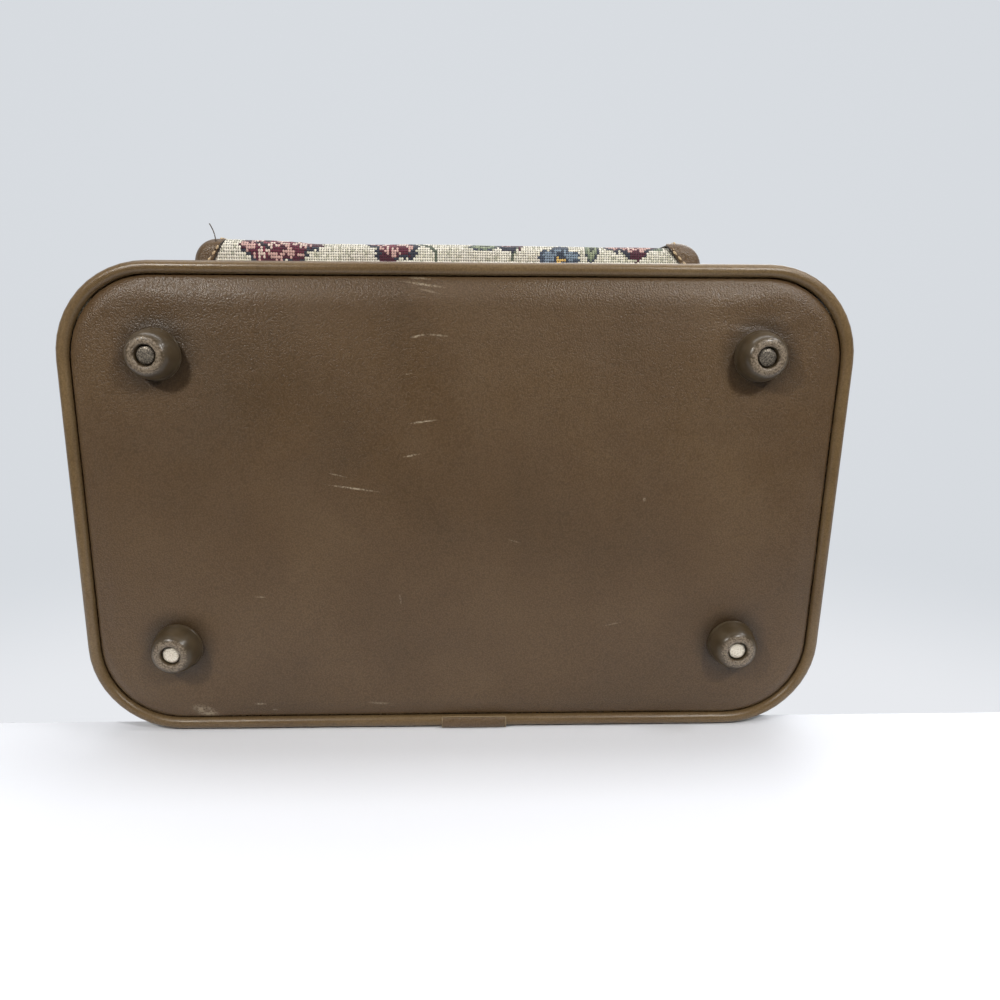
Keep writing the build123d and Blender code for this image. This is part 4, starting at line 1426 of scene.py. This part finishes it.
def tape_finish():
    finish, tree, surface, where = new_finish("woven_polyester_zip_tape")
    cloth = add(tree, "UVMap", uv_map="cloth").outputs["UV"]
    ribs = add(tree, "TexWave", {"Vector": cloth, "Scale": 1 / (RIB * 6.28)}, wave_type="BANDS",
               bands_direction="X")
    rows = add(tree, "TexWave", {"Vector": cloth, "Scale": 1 / (RIB * 9.0)}, wave_type="BANDS",
               bands_direction="Y")
    weave = compute(tree, ribs.outputs["Fac"], rows.outputs["Fac"], how="MULTIPLY")
    mixed = compute(tree, weave, 0.5, noisy(tree, where, 12 * MM, 3.0), how="MULTIPLY_ADD")
    feed(tree, surface, {
        "Base Color": tones(tree, mixed, (0.35, "33261B"), (0.95, "57442F")),
        "Normal": bumped(tree, weave, 0.7, 0.15 * MM), "Roughness": 0.85, "Sheen Weight": 0.2,
    })
    return finish


tape_cloth = tape_finish()

# %% The main zip's tapes
TAPE_THICKNESS = 0.8 * MM
strip_low, strip_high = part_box("hinge_strip")


def behind_hinge(at, way):
    return at.y > BACK_FACE - 2 * MM and strip_low.x < at.x < strip_high.x


for body, node_name in (("case_body", "body_zip_tape"), ("lid", "lid_zip_tape")):
    low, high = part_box(node_name)
    tape = band(node_name, -TAPE_THICKNESS, low.z, high.z, 6)
    pick(tape, "FACE", behind_hinge)
    bpy.ops.mesh.delete(type="FACE")
    leave()
    lay(tape, lambda spot: (round_the_case(spot), spot.z), AROUND)
    thicken(tape, TAPE_THICKNESS, 0.2 * MM)
    deliver(tape, body + "_zip_tape", tape_cloth, body, [node_name], angle=60)
    edge_z = low.z + 1.8 * MM if body == "case_body" else high.z - 1.8 * MM
    route = case_route(HALF_RUN, AROUND - HALF_RUN, TAPE_THICKNESS + 0.15 * MM, edge_z)
    sew(body + "_zip_stitches", [route], brown_thread, body)

# %% [markdown]
# Zip teeth. Moulded acetal teeth stand 1.9 mm apart on the main zip and 1.4 mm apart on the pocket's.
# One tooth is a small block with its corners bevelled. The two rows are set half a pitch apart, so
# each tooth of one side closes between two of the other.

# %% Tooth finish and the main zip's teeth
TOOTH_PITCH = 1.9 * MM


def teeth_finish():
    finish, tree, surface, where = new_finish("moulded_acetal_teeth")
    cloud = noisy(tree, where, 3 * MM, 3.0)
    feed(tree, surface, {
        "Base Color": tones(tree, cloud, (0.35, "3A2B1E"), (0.65, "59442F")),
        "Roughness": remap(tree, cloud, low=0.25, high=0.5),
    })
    return finish


tooth_plastic = teeth_finish()


def tooth(width, ends, thick, start):
    """One tooth at the origin: along X, thick along Y, and between its two ends in Z."""
    bpy.ops.object.select_all(action="DESELECT")
    bpy.ops.mesh.primitive_cube_add(size=1, location=(0, 0, 0))
    piece = bpy.context.object
    low, high = sorted(ends)
    edit_all(piece)
    stretch_and_move((width, thick, high - low), (start, 0, (low + high) / 2))
    bpy.ops.mesh.select_all(action="SELECT")
    bpy.ops.mesh.bevel(offset=0.28 * width, segments=1, affect="EDGES")
    leave()
    return piece


TEETH_OUT = TAPE_THICKNESS + 0.7 * MM
teeth_end = HALF_RUN + 4 * MM
teeth_route = case_route(teeth_end, AROUND - teeth_end, TEETH_OUT, ZIP_Z)
for body, node_name, way, start in (
    ("case_body", "body_zip_teeth", -1, 0.0), ("lid", "lid_zip_teeth", 1, TOOTH_PITCH / 2),
):
    one = tooth(1.0 * MM, (way * -0.3 * MM, way * 2.0 * MM), 1.4 * MM, start + 0.6 * MM)
    row = repeat_along(one, teeth_route, TOOTH_PITCH)
    deliver(row, body + "_zip_teeth", tooth_plastic, body, [node_name], angle=30)

# %% The pocket's zip
POCKET_TOOTH_PITCH = 1.4 * MM
TAPE_GAP = 0.4 * MM
tape_low, tape_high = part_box("pocket_zip_tape")
width = (tape_high.z - tape_low.z) / 2 - TAPE_GAP
strips = []
for way in (-1, 1):
    middle = ((tape_low.x + tape_high.x) / 2, tape_low.y, slot_middle + way * (TAPE_GAP + width / 2))
    strips.append(grid_sheet(60, 4, (tape_high.x - tape_low.x, 1, width), middle, upright=True))
    leave()
pocket_tape = join(strips)
face_way(pocket_tape, (0, -1, 0))
lay(pocket_tape, lambda spot: (spot.x, spot.z))
thicken(pocket_tape, tape_high.y - tape_low.y, 0.15 * MM)
deliver(pocket_tape, "pocket_tape", tape_cloth, "case_body", ["pocket_zip_tape"], angle=60)
tooth_y = (slot_low.y + slot_high.y) / 2
teeth_line = [(slot_low.x, tooth_y, slot_middle), (slot_high.x, tooth_y, slot_middle)]
pocket_rows = []
for way, start in ((-1, 0.0), (1, POCKET_TOOTH_PITCH / 2)):
    one = tooth(0.75 * MM, (way * -0.25 * MM, way * 1.35 * MM), 1.1 * MM, start + 0.5 * MM)
    pocket_rows.append(repeat_along(one, teeth_line, POCKET_TOOTH_PITCH))
deliver(join(pocket_rows), "pocket_teeth", tooth_plastic, "case_body", ["pocket_zip_teeth"],
        angle=30)
slot_edge = cloth_low.y - 0.1 * MM
slot_routes = []
for way in (-1, 1):
    z = slot_middle + way * (SLOT_HALF + 1.8 * MM)
    slot_routes.append(straight((slot_left - 1.5 * MM, slot_edge, z), (slot_right + 1.5 * MM, slot_edge, z)))
sew("pocket_slot_stitches", [settle(pocket_cloth, route) for route in slot_routes], tan_thread,
    "case_body")

# %% [markdown]
# The handle is a vinyl strap rolled round a cord, with a padded grip in its middle, and its two ends
# are eyed round the wire rings. The chapes are vinyl patches folded round the rings and sewn to the
# lid. All are soft copies. Two rows of stitches run along the grip, on its upper side as it lies.

# %% The handle
grip = soft_copy("handle_grip", 0.9 * MM, 5, "grip")
for spot in grip.data.vertices:
    lift = noise.noise(spot.co / (11 * MM))
    spot.co += spot.normal * (0.22 * MM * lift)
modify(grip, "SUBSURF", levels=1, render_levels=1)
deliver(grip, "padded_handle", vinyl_finish, "handle", ["handle_grip"], angle=80)

grip_low, grip_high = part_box("handle_grip")
grip_y = grip_low.y + 7.2 * MM
grip_z = (grip_low.z + grip_high.z) / 2
grip_routes = []
for way in (-1, 1):
    route = straight((-33 * MM, grip_y + way * 1.1 * MM, grip_z + 20 * MM),
                     (33 * MM, grip_y + way * 1.1 * MM, grip_z + 20 * MM))
    grip_routes.append(settle(grip, route))
sew("handle_stitches", grip_routes, tan_thread, "handle")

# %% The chapes
chape_routes = []
for side in ("left", "right"):
    node_name = "handle_chape_" + side
    low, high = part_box(node_name)
    chape = soft_copy(node_name, 0.5 * MM, 3, "chape")
    deliver(chape, "chape_" + side, vinyl_finish, "lid", [node_name], angle=80)
    middle = (low.x + high.x) / 2
    reach = (high.x - low.x) / 2 - 2 * MM
    front_end, back_end = low.y + 12 * MM, high.y - (high.x - low.x) / 2
    route = straight((middle - reach, front_end, high.z), (middle - reach, back_end, high.z))
    for step in range(1, 12):
        angle = math.pi - math.pi * step / 12
        route.append(Vector((middle + reach * math.cos(angle), back_end + reach * math.sin(angle), high.z)))
    route += straight((middle + reach, back_end, high.z), (middle + reach, front_end, high.z))
    route += straight((middle + reach, front_end, high.z), (middle - reach, front_end, high.z))[1:]
    flat = [Vector((place.x, place.y, LID_TOP + 1.8 * MM)) for place in route]
    chape_routes.append(settle(chape, flat))
sew("chape_stitches", chape_routes, tan_thread, "lid")

# %% [markdown]
# Metal fittings. The sliders and rings are zinc die castings with an antique brass plating: warm,
# half worn, darker in the corners where the plating was left. They keep the CAD shapes, and a Bevel
# that stays live rounds the sliders' edges.

# %% Antique brass
def brass_finish():
    finish, tree, surface, where = new_finish("antique_brass_plated_zinc")
    tarnish = noisy(tree, where, 2.2 * MM, 5.0, Roughness=0.65)
    feed(tree, surface, {
        "Base Color": tones(tree, tarnish, (0.34, "5E4726"), (0.5, "9C7B45"), (0.7, "C8A566")),
        "Metallic": 1.0, "Roughness": remap(tree, tarnish, 0.3, 0.7, 0.5, 0.24),
        "Normal": bumped(tree, tarnish, 0.25, 0.05 * MM),
    })
    return finish


antique_brass = brass_finish()


def dress(node_name, finish, round_edge=0.0):
    """A CAD piece keeps its shape and takes a finish, and its edges may be rounded."""
    piece = nodes[node_name]
    for place in range(len(piece.data.materials)):
        piece.data.materials[place] = finish
    if round_edge:
        weld = piece.modifiers.new("weld", "WELD")
        weld.merge_threshold = 0.005 * MM
        bevel = piece.modifiers.new("bevel", "BEVEL")
        bevel.width = round_edge
        bevel.segments = 2
        bevel.limit_method = "ANGLE"
        bevel.angle_limit = math.radians(50)


for node_name in ("zip_slider_left", "zip_slider_right", "pocket_zip_slider"):
    dress(node_name, antique_brass, 0.2 * MM)
for node_name in ("pull_ring_left", "pull_ring_right", "pocket_pull_ring",
                  "handle_ring_left", "handle_ring_right"):
    dress(node_name, antique_brass)

# %% [markdown]
# Pull tabs. Each is a strip of the same vinyl folded round the ring and sewn to itself. It is a soft
# copy of the CAD tab, and a row of stitches follows its edge.

# %% The pull tabs
for body, node_name in (
    ("pull_left", "pull_tab_left"), ("pull_right", "pull_tab_right"), ("pocket_pull", "pocket_pull_tab"),
):
    low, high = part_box(node_name)
    tab = soft_copy(node_name, 0.28 * MM, 2, "tab")
    deliver(tab, body + "_tab", vinyl_finish, body, [node_name], angle=80)
    left, right = low.x + 1.3 * MM, high.x - 1.3 * MM
    top, foot = high.z - 4.5 * MM, low.z + 1.6 * MM
    ring_of = [(left, top), (left, foot), (right, foot), (right, top), (left, top)]
    route = []
    for (x0, z0), (x1, z1) in zip(ring_of, ring_of[1:]):
        route += straight((x0, low.y, z0), (x1, low.y, z1), 1 * MM)[:-1]
    route.append(Vector((left, low.y, top)))
    sew(body + "_tab_stitches", [settle(tab, route, 0.08 * MM)], tan_thread, body,
        pitch=2.2 * MM, thread=0.42 * MM)

# %% [markdown]
# Lining and bindings. The inside is lined in a plain woven nylon, loose enough to ripple, and the
# rims are bound in a ribbed tape folded over the raw edge and sewn. Each lining starts from the
# outline: a wall is pulled from it in rows, and then its floor is filled in.

# %% Finish of the plain woven cloths
def woven_finish(name, yarn, fade, share, dark, light, strength, depth, rough, sheen):
    """The yarns' fine relief, this share of it in the tone, over a slow fade from dark to light."""
    finish, tree, surface, where = new_finish(name)
    fine = noisy(tree, where, yarn)
    mixed = compute(tree, fine, share, noisy(tree, where, fade, 3.0), how="MULTIPLY_ADD")
    feed(tree, surface, {
        "Base Color": tones(tree, mixed, dark, light), "Normal": bumped(tree, fine, strength, depth),
        "Roughness": rough, "Sheen Weight": sheen,
    })
    return finish


lining_nylon = woven_finish("plain_woven_nylon_lining", 0.6 * MM, 60 * MM, 0.35, (0.45, "75624D"),
                            (0.9, "9A866C"), 0.5, 0.1 * MM, 0.6, 0.35)
grosgrain = woven_finish("woven_grosgrain_binding", 0.5 * MM, 15 * MM, 0.6, (0.6, "33261A"),
                         (1.0, "54412D"), 0.6, 0.15 * MM, 0.85, 0.2)

# %% The two linings
LINING_INSET = 4.2 * MM
LINING_THICKNESS = 0.8 * MM
LINING_ROWS = 24


def lining(name, node_name, floor_z, rim_z, body):
    """A wall pulled from the floor's edge up, or down, to the rim, and then its floor."""
    piece = outline(name, LINING_INSET + LINING_THICKNESS, floor_z, filled=False)
    edit_all(piece, "EDGE")
    for row in range(LINING_ROWS):
        bpy.ops.mesh.extrude_region_move(
            TRANSFORM_OT_translate={"value": (0, 0, (rim_z - floor_z) / LINING_ROWS)})
    pick(piece, "EDGE", lambda a, b: abs(a.z - floor_z) < 1e-6 and abs(b.z - floor_z) < 1e-6)
    bpy.ops.mesh.fill_grid(span=SHORT_CUTS + CORNER_CUTS, offset=CORNER_CUTS // 2)
    bpy.ops.mesh.select_all(action="SELECT")
    bpy.ops.mesh.normals_make_consistent(inside=True)
    leave()
    middle = Vector((0, MIDDLE_Y, (floor_z + rim_z) / 2))
    if sum((face.center - middle).dot(face.normal) for face in piece.data.polygons) > 0:
        flip(piece)
    high = abs(rim_z - floor_z)
    bulge(piece, 30 * MM, 0.9 * MM, 21.0,
          lambda spot: between(abs(spot.z - rim_z), 10 * MM, 24 * MM) if high > 30 * MM else 0.5)
    modify(piece, "SOLIDIFY", thickness=LINING_THICKNESS, offset=-1.0)
    deliver(piece, name, lining_nylon, body, [node_name], angle=80)


low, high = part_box("body_lining")
lining("body_lining_cloth", "body_lining", low.z + LINING_THICKNESS, high.z, "case_body")
low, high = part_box("lid_lining")
lining("lid_lining_cloth", "lid_lining", high.z - LINING_THICKNESS, low.z, "lid")

# %% The two rims' bindings
BINDING_ROWS = (
    (0.0, 0.78), (0.0, 0.3), (0.12, 0.08), (0.4, 0.0), (2.0, -0.12), (3.8, -0.12), (5.4, 0.0),
    (5.7, 0.1), (5.8, 0.35), (5.8, 2.0), (5.8, 4.0), (5.8, 6.0), (5.8, 7.9),
)


def binding(name, node_name, rim_z, way, body):
    """A band whose rows are moved one by one to their places on the fold: (inset, drop) in mm."""
    rows = len(BINDING_ROWS) - 1
    piece = band(name, 0, 0.0, rows * MM, rows)
    outwards = [spot.normal.copy() for spot in piece.data.vertices]
    for spot, normal in zip(piece.data.vertices, outwards):
        inset, drop = BINDING_ROWS[round(spot.co.z / MM)]
        spot.co -= normal * (inset * MM)
        spot.co.z = rim_z - way * drop * MM
    if way < 0:
        flip(piece)
    modify(piece, "SOLIDIFY", thickness=0.7 * MM, offset=-1.0)
    deliver(piece, name, grosgrain, body, [node_name], angle=60)
    inner = 0.1 * MM - BINDING_ROWS[-1][0] * MM
    route = case_route(0, AROUND, inner, rim_z - way * 6.6 * MM)
    sew(name + "_stitches", [route], brown_thread, body)


binding("body_rim", "body_rim_binding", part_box("body_rim_binding")[1].z, 1, "case_body")
binding("lid_rim", "lid_rim_binding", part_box("lid_rim_binding")[0].z, -1, "lid")

# %% [markdown]
# The hinge is a vinyl strip across the back, creased along the fold and sewn to the body below and to
# the lid above.

# %% The hinge strip
hinge_sheet = grid_sheet(90, 52, (strip_high.x - strip_low.x, 1, strip_high.z - strip_low.z),
                         (0, strip_high.y, ZIP_Z), upright=True)
leave()
for spot in hinge_sheet.data.vertices:
    away = abs(spot.co.z - ZIP_Z)
    crease = between(away, 2.2 * MM, 0.0)
    edge = between(away, 11.5 * MM, 13 * MM)
    lift = noise.noise(spot.co / (20 * MM))
    spot.co.y -= 0.5 * MM * crease + 0.25 * MM * edge - 0.12 * MM * lift * (1 - crease) * (1 - edge)
face_way(hinge_sheet, (0, 1, 0))
thicken(hinge_sheet, 0.7 * MM, 0.2 * MM)
deliver(hinge_sheet, "hinge_sheet", vinyl_finish, None, ["hinge_strip"], angle=60)
hinge_routes = {}
for way, body in ((-1, "case_body"), (1, "lid")):
    z = ZIP_Z + way * 10.8 * MM
    route = straight((strip_low.x + 2 * MM, strip_high.y, z), (strip_high.x - 2 * MM, strip_high.y, z))
    hinge_routes[body] = settle(hinge_sheet, route)
for body, route in hinge_routes.items():
    sew("hinge_stitches_" + body, [route], tan_thread, body)
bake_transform(hinge_sheet)

# %% [markdown]
# The mirror sits in a vinyl frame glued to the lid's ceiling. Float glass silvered on its back is
# close to a perfect reflector, with a slight cold tint. The boards are grey-brown fibreboard, hidden
# once the case is made, and the washers are the rivets' plated steel.

# %% Mirror, boards and washers
def mirror_finish():
    finish, tree, surface, where = new_finish("silvered_float_glass")
    haze = noisy(tree, where, 40 * MM)
    feed(tree, surface, {
        "Base Color": tones(tree, haze, (0.3, "E4EAEA"), (0.7, "EEF3F2")), "Metallic": 1.0,
        "Roughness": remap(tree, haze, low=0.01, high=0.04),
    })
    return finish


def board_finish():
    finish, tree, surface, where = new_finish("pressed_fibreboard")
    fibre = noisy(tree, where, 1.5 * MM, 5.0)
    feed(tree, surface, {
        "Base Color": tones(tree, fibre, (0.35, "7E6C55"), (0.65, "A9967B")), "Roughness": 0.9,
    })
    return finish


silvered_glass = mirror_finish()
fibreboard = board_finish()
dress("lid_mirror", silvered_glass)
dress("mirror_frame", vinyl_finish, 0.6 * MM)
dress("foot_washers", rivet_metal)
for node_name in ("base_board", "bottom_pad", "body_board", "lid_wall_board", "lid_top_board"):
    dress(node_name, fibreboard)
frame_low, frame_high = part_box("mirror_frame")
rim_x, rim_y = frame_high.x - 2.5 * MM, frame_high.y - 2.5 * MM
low_y, turn = frame_low.y + 2.5 * MM, 9.5 * MM
frame_route = []
for centre_x, centre_y, first in (
    (rim_x - turn, rim_y - turn, 0), (-rim_x + turn, rim_y - turn, 90),
    (-rim_x + turn, low_y + turn, 180), (rim_x - turn, low_y + turn, 270),
):
    for step in range(0, 91, 15):
        angle = math.radians(first + step)
        frame_route.append(Vector((centre_x + turn * math.cos(angle), centre_y + turn * math.sin(angle),
                                   frame_low.z - 0.1 * MM)))
frame_route.append(frame_route[0].copy())
sew("mirror_frame_stitches", [frame_route], tan_thread, "lid")

# %% The pieces not dressed yet
still_plain = [name for name, piece in nodes.items() if not piece.hide_render
               and any(s.material and "." in s.material.name for s in piece.material_slots)]
print("not dressed yet:", still_plain)
